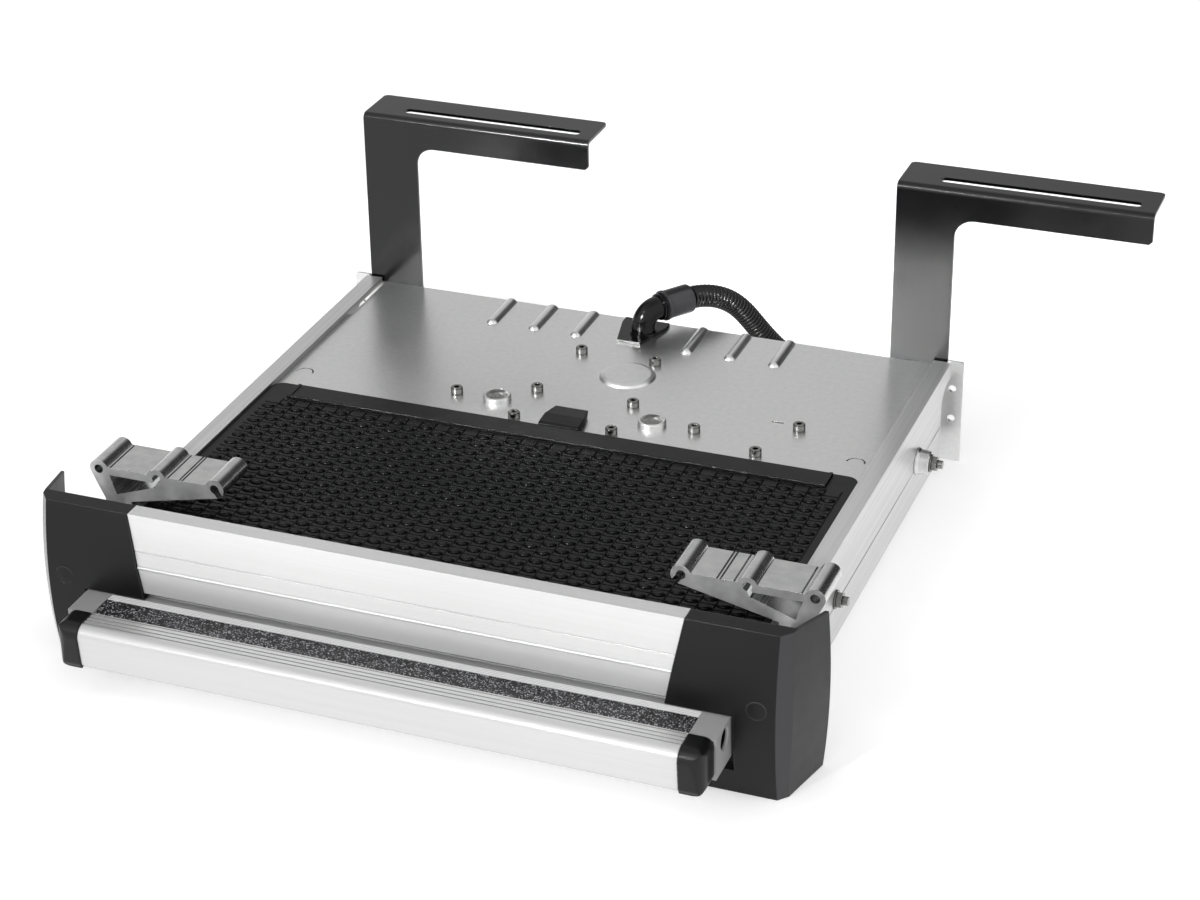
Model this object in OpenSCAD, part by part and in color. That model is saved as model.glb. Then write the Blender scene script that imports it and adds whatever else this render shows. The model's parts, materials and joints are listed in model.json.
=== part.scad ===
// Powered pull-out step for a caravan doorway.
// A flat cassette hangs under the floor. Its tread slides out on two side arms, drawn by two racks that
// a pair of meshed gears keeps parallel.
// Frame: X to the right, Y to the rear, Z up.
// The origin is on the ground, under the middle of the rear panel.

/* [Cassette] */
// Width over the outer faces of the side rails
rail_span = 619; // [590:1:700]
// Depth from the rear panel to the top front edge of the fascia
cassette_depth = 606.5; // [600:0.5:680]
// Height of the underside of the side rails above the ground
rail_bottom = 17; // [12:0.5:22]
// Height of the side rails
rail_height = 88.5; // [87.5:0.5:100]
// Wall of the side rails
rail_wall = 2.5; // [2:0.1:3.5]
// Width of the top and bottom flanges of the side rails
rail_flange = 17.5; // [16:0.5:19]
// Step from the top of the rails down to the deck
deck_drop = 5.5; // [5:0.5:8]
// Thickness of the deck sheet
sheet = 1.5; // [1:0.1:2]
// Thickness of the rear panel
panel = 3; // [2:0.5:5]
// How far the ears of the rear panel stand out past the rails
ear = 12.5; // [11:0.5:20]
// Depth of the foot flange along the bottom of the rear panel
foot_depth = 24; // [12:1:30]

/* [Deck pressings] */
// Length of the stiffening beads at the rear of the deck
bead_length = 57; // [30:1:65]
// Outer radius of the beads
bead_r = 6.5; // [5:0.5:7]
// Height of the beads above the deck
bead_rise = 4; // [3:0.1:4.5]
// Places of the beads across the deck, on each side of the middle
bead_x = [58, 102.5, 147.5];
// Outer diameter of the round boss over the motor pinion
boss_d = 55; // [50:1:60]
// Height of the round boss
boss_rise = 3.5; // [2.5:0.5:4]
// Outer diameter of the drawn collars round the shafts
collar_d = 27; // [25:0.5:30]
// Height of the drawn collars
collar_rise = 5.5; // [3:0.5:7]

/* [Mat] */
// Thickness of the rubber mat
mat = 3; // [2:0.5:4]
// Distance of the rear edge of the mat from the rear panel
mat_rear = 247; // [246:1:300]
// Half length of the strip along the rear edge of the mat
strip_half = 266; // [200:1:280]
// Width of that strip
strip_w = 27; // [20:1:40]
// Width of the lifting tab behind the strip
tab_w = 40; // [30:1:60]

/* [Fascia and end caps] */
// Height of the top edge of the fascia above the ground
fascia_top = 155; // [140:1:180]
// Depth of the flat strip along the top of the fascia
fascia_strip = 16; // [15:0.5:24]
// Wall of the fascia
fascia_wall = 2.5; // [2:0.1:3]
// Wall of the end caps
cap_wall = 3; // [2:0.5:4]
// How far the front corner crease of an end cap stands out past the rail
cap_crease = 19.5; // [16:0.5:26]
// How far the front of an end cap bows out
cap_bow = 9; // [6:0.5:12]
// Length of the side wall of an end cap
cap_length = 61; // [50:1:80]
// Flare of the side wall, in degrees
cap_flare = 13.3; // [8:0.1:16]
// Diameter of the screw plug on an end cap
plug_d = 17; // [14:0.5:18]

/* [Tread] */
// Height of the roller axles above the underside of the rails
axle_rise = 40.7; // [40:0.1:43]
// How far the front of the tread stands out past the fascia
nose_reach = 69.5; // [66:0.5:90]
// Width of the grit strip
grit_w = 22.6; // [15:0.2:24]
// Pitch of the ribs along the front of the tread
rib_pitch = 5; // [4:0.5:6]
// Height of the side arms
arm_h = 38.8; // [38.2:0.2:39]
// Width of the side arms
arm_w = 23.5; // [20:0.5:26]
// Wall of the side arms
arm_wall = 2.5; // [2:0.1:4]
// Length of the nose caps
nose_cap_l = 27; // [22:1:32]
// Thickness of the carriage plate
carriage = 3; // [2.5:0.1:3.4]
// How far the tread slides out
stroke = 180; // [100:1:185]

/* [Rollers] */
// Diameter of the rollers
roller_d = 26; // [24:0.5:28]
// Width of the rollers
roller_w = 6.5; // [5:0.5:7]
// Diameter of the roller axles
axle_d = 8; // [6:0.5:10]
// Distance of the rear rollers from the rear panel
roller_rear = 127; // [125:1:180]
// Distance from the rear rollers to the front rollers
roller_base = 200; // [150:5:220]
// Free play of a roller between the flanges of its channel
roller_play = 0.6; // [0.4:0.1:1]
// Running clearance on radius between a shaft and its bore
run_gap = 0.05; // [0.02:0.01:0.08]

/* [Gears] */
// Gear module
gear_module = 2; // [1.9:0.05:2.05]
// Teeth on each synchronising wheel
wheel_teeth = 78; // [72:2:80]
// Teeth on each rack pinion
pinion_teeth = 20; // [18:2:22]
// Teeth on the motor pinion
motor_teeth = 25; // [20:1:26]
// Distance of the wheel shafts from the rear panel
gear_setback = 206; // [200:1:230]
// Diameter of the wheel shafts
shaft_d = 12; // [10:0.5:14]
// Play between teeth at the pitch line
backlash = 0.25; // [0.15:0.05:0.4]
// Place of the motor across the deck
motor_x = 22; // [10:1:30]
// Diameter of the motor gearbox
gearbox_d = 64; // [50:1:66]
// Diameter of the motor can
can_d = 46; // [36:1:50]

/* [Mounting] */
// Height of the top of the mounting brackets above the ground
bracket_top = 283.7; // [240:0.1:320]
// Thickness of the mounting brackets
bracket_t = 3; // [3:0.5:5]
// Width of the upright of a bracket
bracket_w = 57.1; // [50:0.1:60]
// Length of the arm of a bracket
bracket_arm = 242; // [220:1:280]
// Depth of the arm's top flange
bracket_flange = 54.7; // [45:0.1:70]
// Length of the slot in the top flange
slot_l = 190; // [120:1:198]
// Width of that slot
slot_w = 11; // [6:0.5:14]
// Length of the sill adapters
adapter_l = 46; // [36:1:60]
// Rise of the adapters above the rails, to the middle of their bosses
adapter_rise = 32.5; // [30:0.5:40]
// Spacing of the adapters' bosses
boss_pitch = 57.5; // [54:0.5:60]
// Diameter of the ear holes in the rear panel
ear_hole = 7.5; // [6:0.5:9]

/* [Cable] */
// Outer diameter of the ribbed conduit
conduit_d = 23; // [20:0.5:24]
// Bore of the ribbed conduit
conduit_bore = 17; // [14:0.5:18]
// Pitch of the ribs of the conduit
conduit_pitch = 3.9; // [3.5:0.1:6]
// Height of the elbow's middle above the deck
elbow_rise = 25.1; // [24:0.1:32]
// Direction of the elbow, in degrees from the right
elbow_turn = 54.5; // [40:0.5:70]

/* [Hidden] */
$fn = 64;
eps = 0.01;

// Heights and widths of the frame
rail_x = rail_span / 2;
rail_in = rail_x - rail_wall;
flange_x = rail_x - rail_flange;
rail_top = rail_bottom + rail_height;
deck_top = rail_top - deck_drop;
deck_under = deck_top - sheet;
front = -cassette_depth;
rail_front = front + 8.5;
seat = 0.2;
deck_half = rail_in - seat;
groove_z = rail_bottom + 34.7;
cross_set = 24.5;
cross_deep = 40;

// Deck: the narrow rear part, where the rails leave a dark gap
deck_notch_x = flange_x - 3;
deck_notch_y = -81.5;
lance_r = 9;
lance_x = flange_x - 15;
lance_y = -214.5;
lance_cut = 1.4;
boss_slope = 5;

// Gear train, from the module and the tooth counts
pressure = 20;
wheel_r = gear_module * wheel_teeth / 2;
pinion_r = gear_module * pinion_teeth / 2;
motor_r = gear_module * motor_teeth / 2;
tooth_pitch = PI * gear_module;
gear_x = wheel_r;
gear_y = -gear_setback;
rack_x = gear_x + pinion_r;
motor_reach = wheel_r + motor_r;
motor_y = gear_y + sqrt(pow(motor_reach, 2) - pow(gear_x - motor_x, 2));
motor_angle = atan2(motor_y - gear_y, motor_x - gear_x);
wheel_step = 360 / wheel_teeth;
wheel_offset = round(motor_angle / wheel_step) * wheel_step - motor_angle;
motor_phase = motor_angle + 180 - wheel_teeth / motor_teeth * wheel_offset - 180 / motor_teeth;
rack_teeth = ceil(stroke / tooth_pitch) + 4;

// Sliding step: heights from the axles, widths from the rails inwards
axle_z = rail_bottom + axle_rise;
tread_top = axle_z + 19.1;
arm_low = tread_top - arm_h;
channel_web = 4.5;
channel_flange = 3;
channel_depth = 12;
channel_x = rail_in - channel_web;
channel_half = (roller_d + roller_play) / 2;
arm_gap = 3.5;
nose_front = front - nose_reach;
arm_out = rail_in - channel_depth - arm_gap;
arm_in = arm_out - arm_w;
arm_front = front - nose_reach + nose_cap_l;
arm_rear = -roller_rear + 20;
carriage_top = axle_z + 0.3;
carriage_low = carriage_top - carriage;
roller_x = arm_out + 2.4;
roller_y = [-roller_rear - roller_base, -roller_rear];

// Drive: the rack stands on the carriage, the wheels run above the rack
gear_gap = 4;
rack_h = 16;
rack_top = carriage_top + rack_h;
rack_back = 14;
rack_screw_x = rack_x + 8;
rack_screw_y = [-30, -90, -150];
wheel_low = rack_top + gear_gap;
wheel_face = 8;
pinion_low = carriage_top + 1.5;
flange_low = deck_under - 9;
flange_plate = 4;
hub_d = collar_d - 6;
hub_top = deck_top + 0.8;
shaft_top = hub_top + 2.2;
lobe_r = 41.5;
lobe_angles = [0, 135, 225];

// Motor unit, hung from the deck by two stand-offs
motor_plate = 3;
motor_plate_top = wheel_low - 1;
standoff_x = 38;
standoff_y = -86;
standoff_d = 14;
gearbox_h = 22;
gearbox_top = motor_plate_top - motor_plate;
gearbox_low = gearbox_top - gearbox_h;
can_h = 30;
pilot_d = 34;
motor_shaft_d = 8;

// Control unit, right of the gears
unit_x = [165, 235];
unit_y = [-252, -147];
unit_h = 32.5;
unit_screws = [[187, -230.5], [210, -170.4]];
unit_slot = [187, -162.7];

// Screws of the deck
screw_head_d = 11.5;
screw_head_h = 6.5;
screw_d = 5;
screw_bore = 5.2;
screw_l = 12;
deck_screw_places = concat(
  [for (side = [-1, 1]) for (a = lobe_angles) [side * (gear_x + lobe_r * cos(a)), gear_y + lobe_r * sin(a)]],
  [for (side = [-1, 1]) [side * standoff_x, standoff_y]],
  unit_screws
);

// Fascia, from its top edge down, and the mouth that the tread leaves by
fascia_low = tread_top + 6.6;
fascia_foot = 15;
fascia_groove_z = fascia_top - 33;
fascia_ridge_z = fascia_top - 48;
strip_rear = front + fascia_strip;

// End caps
cap_x = rail_x + cap_crease;
cap_face = front - cap_bow;
cap_bevel = 48.7;
cap_bevel_w = 17;
cap_rear = front + cap_length;
cap_side_bow = 4;
cap_side_x = cap_x + cap_bevel_w * cos(cap_bevel) + (cap_length - 6) * tan(cap_flare);
cap_rear_top = fascia_top - 7.5;
cap_in_top = rail_x - 59.5;
cap_in_low = rail_x - 73.5;
cap_sill_in = rail_x - 47.5;
notch_top = tread_top + 1.2;
notch_low = arm_low - 14;
notch_x = arm_out + 2.4;
notch_r = 5;
plug_x = rail_x + 3.5;
plug_z = fascia_top - 67.5;
plug_t = 4;
plug_gap = 0.1;

// Nose of the tread
nose_rear = front - 7.5;
nose_low = arm_low - 0.5;
nose_wall = 2.2;
nose_round = 10;
grit_rear = front - 18;
grit_seat = 1.2;
grit_t = 1.5;
nose_screw_y = arm_front + 20;
nose_screw_z = tread_top - 11.8;
arm_port_d = 18;
plank_h = 6.8;
plank_rear = nose_rear + stroke + 57;

// Sill adapters
adapter_y = front + 90;
adapter_z = rail_top + adapter_rise;
adapter_boss_r = 9;
adapter_boss_x = rail_x + 20.5;
adapter_screw_x = rail_x - 8.5;

// Mounting brackets
bracket_web = 30;
bracket_round = 19;
bracket_bend = 6;
bracket_low = 20;
bracket_x = rail_x - 61.3;
slot_inset = 37;
slot_y = panel + 20.5;
bracket_bolt_d = 8;
bracket_bolt_z = [deck_top - 25, deck_top - 65];

// Side bolts through the rails into the guide channels
guide_bolt_d = 8;
guide_bolt_y = [-382.5, -116.5];
guide_nut_h = 6.5;
spacer_h = 13;
ear_hole_x = rail_x + 2.5;
ear_hole_z = [axle_z - 11.7, axle_z + 20.3];

// Cable gland and conduit: the free points lie along a hose that droops, then lies on the ground
gland = [4.8, -28.2];
gland_plate = 3;
elbow_r = 16;
elbow_d = 23;
sleeve_d = conduit_d + 6;
sleeve_start = 24;
sleeve_stop = 30;
sleeve_end = 54;
elbow_z = deck_top + elbow_rise;
conduit_free = [
  [45, 28, 123.5], [53.5, 39, 120], [62, 49.5, 114], [70, 59, 105.5], [77, 67, 95], [83.5, 74, 83],
  [90, 80.5, 70.5], [97, 86.5, 58.5], [105, 92, 47], [115, 97, 37], [127, 101.5, 28], [141, 105, 21],
  [156, 107.5, 16], [172, 109, 13], [188, 109.5, 12], [204, 109.5, 12]
];
conduit_last = 24;
connector_l = 42;

// Basic shapes
module block(x, y, z) {
  translate([x[0], y[0], z[0]]) cube([x[1] - x[0], y[1] - y[0], z[1] - z[0]]);
}

module rod_x(d, x0, x1) {
  translate([x0, 0, 0]) rotate([0, 90, 0]) cylinder(d = d, h = x1 - x0);
}

module rod_y(d, y0, y1) {
  translate([0, y1, 0]) rotate([90, 0, 0]) cylinder(d = d, h = y1 - y0);
}

module rod_z(d, z0, z1) {
  translate([0, 0, z0]) cylinder(d = d, h = z1 - z0);
}

// A flat outline in Y and Z, drawn out along X
module along_x(x0, x1) {
  translate([x0, 0, 0]) rotate([90, 0, 90]) linear_extrude(x1 - x0) children();
}

// A flat outline in X and Z, drawn out along Y
module along_y(y0, y1) {
  translate([0, y1, 0]) rotate([90, 0, 0]) linear_extrude(y1 - y0) children();
}

// The right-hand piece, or the same piece turned to the left
module handed(side) {
  if (side > 0) children();
  else mirror([1, 0, 0]) children();
}

// A rectangle from corner a to corner b with round corners
module round_rect(a, b, r) {
  translate([a[0] + r, a[1]]) square([b[0] - a[0] - 2 * r, b[1] - a[1]]);
  translate([a[0], a[1] + r]) square([b[0] - a[0], b[1] - a[1] - 2 * r]);
  for (x = [a[0] + r, b[0] - r]) for (y = [a[1] + r, b[1] - r]) translate([x, y]) circle(r);
}

// A slot of overall length l and width w, along X
module slot_outline(l, w) {
  square([l - w, w], center = true);
  for (x = [-1, 1]) translate([x * (l - w) / 2, 0]) circle(d = w);
}

// Cassette frame

module bead_form(r, lift) {
  translate([0, -bead_length + r, lift]) {
    sphere(r);
    rod_y(2 * r, 0, bead_length - r);
  }
}

module top_plate() {
  bead_z = deck_top + bead_rise - bead_r;
  color("gainsboro") difference() {
    union() {
      translate([0, 0, deck_under]) linear_extrude(sheet) union() {
        translate([-deck_half, rail_front]) square([2 * deck_half, deck_notch_y - rail_front]);
        translate([-deck_notch_x, deck_notch_y - eps]) square([2 * deck_notch_x, -deck_notch_y + eps]);
      }
      intersection() {
        for (side = [-1, 1]) for (x = bead_x) translate([side * x, 0, 0]) bead_form(bead_r, bead_z);
        block([-rail_x, rail_x], [-bead_length, 0], [deck_under, rail_top + 20]);
      }
      translate([motor_x, motor_y, deck_under]) boss_dome(0, sheet);
      for (side = [-1, 1]) translate([side * gear_x, gear_y, 0]) collar();
    }
    for (side = [-1, 1]) for (x = bead_x) {
      translate([side * x, 0, 0]) bead_form(bead_r - sheet, bead_z);
      translate([side * x, 0, bead_z]) rod_y(2 * (bead_r - sheet), -eps, 1);
    }
    translate([motor_x, motor_y, deck_under]) boss_dome(sheet, 0);
    for (side = [-1, 1]) translate([side * gear_x, gear_y, 0])
      rod_z(hub_d + 2 * seat, deck_under - 1, deck_top + collar_rise + 1);
    for (p = deck_screw_places) translate([p[0], p[1], 0]) rod_z(screw_d + 0.6, deck_under - 1, deck_top + 1);
    translate([unit_slot[0] - 5.5, unit_slot[1] - 1.25, deck_under - 1]) cube([11, 2.5, sheet + 2]);
    for (side = [-1, 1]) translate([side * lance_x, lance_y, deck_under - 1]) lance();
    translate([gland[0], gland[1], 0]) rod_z(elbow_d - 5, deck_under - 1, deck_top + 1);
  }
}

// Round boss with a sloping rim, drawn in by d and raised by lift at its foot
module boss_dome(d, lift) {
  r0 = boss_d / 2 - d;
  r1 = boss_d / 2 - boss_slope - d * 0.6;
  top = boss_rise + sheet - d;
  rotate_extrude($fn = 96) polygon([
    [0, -d], [r0, -d], [r0, lift], [(r0 + r1) / 2 + 0.8, top * 0.6 + lift * 0.4],
    [r1 + 0.6, top - 0.25], [r1 - 0.8, top], [0, top]
  ]);
}

module collar() {
  rotate_extrude() union() {
    translate([hub_d / 2, deck_under]) square([(collar_d - hub_d) / 2 - sheet, sheet + collar_rise]);
    translate([hub_d / 2, deck_under]) square([(collar_d - hub_d) / 2, collar_rise]);
    translate([collar_d / 2 - sheet, deck_top + collar_rise - sheet]) circle(sheet);
  }
}

// A half-moon tongue, cut free round its rear
module lance() {
  linear_extrude(sheet + 2) difference() {
    circle(lance_r);
    circle(lance_r - lance_cut);
    translate([-lance_r - 1, -lance_r - 1]) square([2 * lance_r + 2, lance_r + 1]);
  }
}

// Side rail: a channel with a lipped top flange and a ledge that carries the deck
module rail() {
  ledge = 10;
  cut_r = 20;
  cut_y = -31.5;
  cut_z = rail_top - 16.5;
  difference() {
    along_y(rail_front, 0) difference() {
      polygon([
        [rail_x, rail_bottom], [rail_x, rail_top], [flange_x, rail_top], [flange_x, deck_top],
        [flange_x + rail_wall, deck_top], [flange_x + rail_wall, rail_top - rail_wall],
        [rail_in, rail_top - rail_wall], [rail_in, deck_under], [rail_in - ledge, deck_under],
        [rail_in - ledge, deck_under - rail_wall], [rail_in, deck_under - rail_wall],
        [rail_in, rail_bottom + rail_wall], [flange_x, rail_bottom + rail_wall], [flange_x, rail_bottom]
      ]);
      polygon([[rail_x + 1, groove_z - 1.6], [rail_x + 1, groove_z + 1.6], [rail_x - 0.9, groove_z]]);
    }
    along_x(flange_x - 2 * ledge, rail_x + 1) difference() {
      translate([cut_y, 0]) square([cut_r - cut_y, cut_z]);
      difference() {
        translate([cut_y - 1, cut_z - cut_r]) square([cut_r + 1, cut_r + 1]);
        translate([cut_y + cut_r, cut_z - cut_r]) circle(cut_r);
      }
    }
    for (y = guide_bolt_y) translate([0, y, axle_z]) rod_x(guide_bolt_d + 0.4, rail_in - 1, rail_x + 1);
    for (y = [-11, 11]) translate([adapter_screw_x, adapter_y + adapter_l / 2 + y, 0])
      rod_z(screw_d + 0.4, rail_top - rail_wall - 1, rail_top + 1);
  }
}

module left_rail() {
  color("silver") handed(-1) rail();
}

module right_rail() {
  color("silver") handed(1) rail();
}

module rear_panel() {
  ear_x = rail_x + ear;
  ear_top = rail_top + 1.5;
  color("gainsboro") difference() {
    union() {
      along_y(0, panel) union() {
        translate([-ear_x, 0]) square([2 * ear_x, deck_top]);
        for (side = [-1, 1]) handed(side) round_rect([rail_in - 2, deck_top - 20], [ear_x, ear_top], 3);
      }
      block([-flange_x + 12, flange_x - 12], [-foot_depth, panel], [0, panel]);
    }
    for (side = [-1, 1]) for (z = ear_hole_z)
      translate([side * ear_hole_x, 0, z]) rod_y(ear_hole, -1, panel + 1);
    for (side = [-1, 1]) for (z = bracket_bolt_z)
      translate([bracket_bolt_x(side), 0, z]) rod_y(bracket_bolt_d + 0.8, -1, panel + 1);
  }
}

module front_cross_member() {
  wall = 3;
  y0 = front + cross_set;
  y1 = y0 + cross_deep;
  z0 = rail_bottom + rail_wall;
  z1 = arm_low - 3.5;
  color("silver") along_x(-rail_in + seat, rail_in - seat) difference() {
    translate([y0, z0]) square([y1 - y0, z1 - z0]);
    translate([y0 + wall, z0 - 1]) square([y1 - y0 - 2 * wall, z1 - z0 - wall + 1]);
  }
}

// Fascia: a thin extrusion with a shadow groove and a ridge on its face and a foot on the deck
module fascia_face(d) {
  polygon([
    [front + d, fascia_top - d], [front - 4 + d, fascia_groove_z], [front - 5.9 + d, fascia_ridge_z],
    [front - 6.8 + d, fascia_low + d], [strip_rear - d, fascia_low + d], [strip_rear - d, fascia_top - d]
  ]);
}

module front_fascia() {
  slant = (cap_in_top - cap_in_low) / (fascia_top - notch_top);
  edge_low = cap_in_top - slant * (fascia_top - fascia_low + 5) - seat;
  color("whitesmoke") intersection() {
    along_x(-cap_in_top, cap_in_top) union() {
      difference() {
        union() {
          fascia_face(0);
          translate([front - 5.3, fascia_ridge_z]) circle(1.6);
        }
        fascia_face(fascia_wall);
        translate([front - 4.2, fascia_groove_z]) circle(0.7);
        translate([front + 6, fascia_low - 1]) square([fascia_strip, deck_top - fascia_low + 1]);
      }
      translate([strip_rear - fascia_wall, deck_top]) square([fascia_foot + fascia_wall, fascia_wall]);
    }
    along_y(front - 20, front + 60) polygon([
      [-cap_in_top + seat, fascia_top + 1], [cap_in_top - seat, fascia_top + 1],
      [edge_low, fascia_low - 5], [-edge_low, fascia_low - 5]
    ]);
  }
}

// A block behind an upright face, bowed by sag over the height h round mid, and drawn in by d
module bowed(sag, mid, h, d) {
  r = (pow(h / 2, 2) + pow(sag, 2)) / (2 * sag);
  along_x(-160, 160) intersection() {
    translate([r, mid]) circle(r - d, $fn = 360);
    translate([0, -1]) square([150, fascia_top + 2]);
  }
}

// Outer form of an end cap, drawn in by d: bowed front, bevelled corner and flared, bowed side
module cap_form(d) {
  mid = fascia_top / 2;
  intersection() {
    translate([cap_x, cap_face, 0]) bowed(cap_bow, mid, fascia_top, d);
    translate([cap_x, cap_face, 0]) rotate([0, 0, cap_bevel])
      bowed(cap_bow * cos(cap_bevel), mid, fascia_top, d);
    translate([cap_side_x, cap_rear, 0]) rotate([0, 0, 90 - cap_flare])
      bowed(cap_side_bow, mid + 2.5, fascia_top, d);
  }
}

function cap_outline(d) = [
  [cap_sill_in + d, d], [cap_x + 50, d], [cap_x + 50, fascia_top - d], [cap_in_top + d, fascia_top - d],
  [cap_in_low + d, notch_top + d], [notch_x + d, notch_top + d], [notch_x + d, notch_low - d],
  [cap_sill_in + d, notch_low - d]
];

module end_cap() {
  rib = 3;
  difference() {
    union() {
      difference() {
        intersection() {
          cap_form(0);
          along_y(cap_face - 1, cap_rear) polygon(cap_outline(0));
          along_x(0, cap_x + 60) polygon([
            [cap_face - 1, -1], [cap_rear, -1], [cap_rear, cap_rear_top], [strip_rear, fascia_top],
            [cap_face - 1, fascia_top]
          ]);
        }
        intersection() {
          cap_form(cap_wall);
          union() {
            along_y(cap_face, rail_front + eps) polygon(cap_outline(cap_wall));
            block([0, cap_x + 60], [rail_front, strip_rear - cap_wall], [cap_wall, fascia_top - cap_wall]);
            block([0, cap_x + 60], [strip_rear - cap_wall - eps, strip_rear], [cap_wall, rail_top]);
            block([0, cap_x + 60], [strip_rear - eps, cap_rear + 1], [cap_wall, fascia_top + 1]);
          }
        }
      }
      block([rail_x, rail_x + rib], [front + 1, rail_front + 28], [cap_wall - 1, rail_top - 4]);
      intersection() {
        cap_form(1);
        translate([plug_x, 0, plug_z]) rod_y(plug_d + 5, cap_face, rail_front);
      }
    }
    translate([plug_x, 0, plug_z]) rod_y(plug_d + 2 * plug_gap, cap_face - 1, cap_face + plug_t);
    translate([plug_x, 0, plug_z]) rod_y(6.5, cap_face - 1, rail_front + 1);
  }
}

module left_end_cap() {
  color([0.1, 0.1, 0.1]) handed(-1) end_cap();
}

module right_end_cap() {
  color([0.1, 0.1, 0.1]) handed(1) end_cap();
}

module end_cap_plugs() {
  color([0.12, 0.12, 0.12]) for (side = [-1, 1])
    translate([side * plug_x, cap_face + plug_t, plug_z]) rotate([90, 0, 0]) rotate_extrude() polygon([
      [0, 0], [plug_d / 2, 0], [plug_d / 2, plug_t - 0.3], [plug_d / 2 - 0.6, plug_t + 0.2], [0, plug_t + 0.6]
    ]);
}

// Mat on the deck, its rear strip and its lifting tab

module deck_mat() {
  mat_x = flange_x - 0.5;
  mat_front = strip_rear + fascia_foot + 0.5;
  r = 12;
  color([0.08, 0.08, 0.08]) translate([0, 0, deck_top]) linear_extrude(mat) union() {
    round_rect([-mat_x, -mat_rear - 3 * r], [mat_x, -mat_rear], r);
    translate([-mat_x, mat_front]) square([2 * mat_x, -mat_rear - 2 * r - mat_front]);
  }
}

module mat_edge_strip() {
  y1 = -mat_rear - 1.5;
  y0 = y1 - strip_w;
  z0 = deck_top + mat;
  color([0.1, 0.1, 0.1]) union() {
    along_x(-strip_half, strip_half) union() {
      translate([y0, z0]) square([strip_w, 1.5]);
      translate([y0, z0]) square([3.5, 2]);
      translate([y0 + 1.75, z0 + 1.8]) circle(1.2);
    }
    for (side = [-1, 1]) translate([side * (strip_half - 1.5), 0, 0])
      block([-1.5, 1.5], [y0, y1], [z0, z0 + 2.2]);
  }
}

module mat_lift_tab() {
  y0 = -mat_rear + seat;
  y1 = y0 + 37.3;
  ridge = y0 + 17.8;
  z0 = deck_top;
  taper = 4;
  color([0.1, 0.1, 0.1]) intersection() {
    along_x(-tab_w / 2, tab_w / 2) polygon([
      [y0, z0], [y0, z0 + 4.6], [y0 + 2.5, z0 + 6], [ridge, z0 + 7.2], [y1 - 1.5, z0 + 6.4],
      [y1, z0 + 5.6], [y1 - 6, z0]
    ]);
    linear_extrude(z0 + 20) intersection() {
      round_rect([-tab_w / 2, y0 - 10], [tab_w / 2, y1], 6);
      polygon([
        [-tab_w / 2, y0 - 1], [tab_w / 2, y0 - 1], [tab_w / 2, ridge], [tab_w / 2 - taper, y1 + 1],
        [-tab_w / 2 + taper, y1 + 1], [-tab_w / 2, ridge]
      ]);
    }
  }
}

// Mounting brackets, alike, both with the arm to the right of the upright

function bracket_bolt_x(side) = (side > 0 ? bracket_x : -bracket_x - bracket_w) + bracket_w / 2;

module bracket() {
  web_low = bracket_top - bracket_web;
  bend_y = panel + bracket_bend;
  bend_z = bracket_top - bracket_bend;
  r = bracket_round;
  difference() {
    union() {
      along_y(panel, panel + bracket_t) union() {
        translate([0, bracket_low]) square([bracket_w, bend_z - bracket_low]);
        polygon([
          [0, web_low], [bracket_arm - 3, web_low], [bracket_arm, web_low + 3], [bracket_arm, bend_z],
          [0, bend_z]
        ]);
        difference() {
          translate([bracket_w - 1, web_low - r]) square([r + 1, r + 1]);
          translate([bracket_w + r, web_low - r]) circle(r);
        }
      }
      translate([0, bend_y, bend_z]) intersection() {
        difference() {
          rod_x(2 * bracket_bend, 0, bracket_arm);
          rod_x(2 * (bracket_bend - bracket_t), -1, bracket_arm + 1);
        }
        block([0, bracket_arm], [-bracket_bend, 0], [0, bracket_bend]);
      }
      translate([0, 0, bracket_top - bracket_t]) linear_extrude(bracket_t) union() {
        round_rect([0, bend_y + 10], [bracket_arm, panel + bracket_flange], 5);
        translate([0, bend_y]) square([bracket_arm, 20]);
      }
    }
    translate([0, 0, bracket_top - bracket_t - 1]) linear_extrude(bracket_t + 2)
      translate([slot_inset + slot_l / 2, slot_y]) slot_outline(slot_l, slot_w);
    for (z = bracket_bolt_z)
      translate([bracket_w / 2, 0, z]) rod_y(bracket_bolt_d + 0.8, 0, panel + bracket_t + 1);
  }
}

module left_mounting_bracket() {
  color([0.09, 0.09, 0.09]) translate([-bracket_x - bracket_w, 0, 0]) bracket();
}

module right_mounting_bracket() {
  color([0.09, 0.09, 0.09]) translate([bracket_x, 0, 0]) bracket();
}

module hex_y(flats, y0, y1) {
  translate([0, y1, 0]) rotate([90, 0, 0]) cylinder(d = flats / cos(30), h = y1 - y0, $fn = 6);
}

module hex_x(flats, x0, x1) {
  translate([x0, 0, 0]) rotate([0, 90, 0]) cylinder(d = flats / cos(30), h = x1 - x0, $fn = 6);
}

module bracket_bolts() {
  back = panel + bracket_t;
  color("silver") for (side = [-1, 1]) for (z = bracket_bolt_z) translate([bracket_bolt_x(side), 0, z]) {
    rod_y(bracket_bolt_d, -9, back);
    rod_y(17, back, back + 1.6);
    hex_y(13, back + 1.6, back + 7);
  }
}

module bracket_nuts() {
  color("silver") for (side = [-1, 1]) for (z = bracket_bolt_z) translate([bracket_bolt_x(side), 0, z])
    difference() {
      hex_y(13, -6.5, 0);
      rod_y(bracket_bolt_d + 2 * run_gap, -8, 1);
    }
}

// Sill adapters: a short piece of extrusion with three screw bosses, standing on the rail

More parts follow.
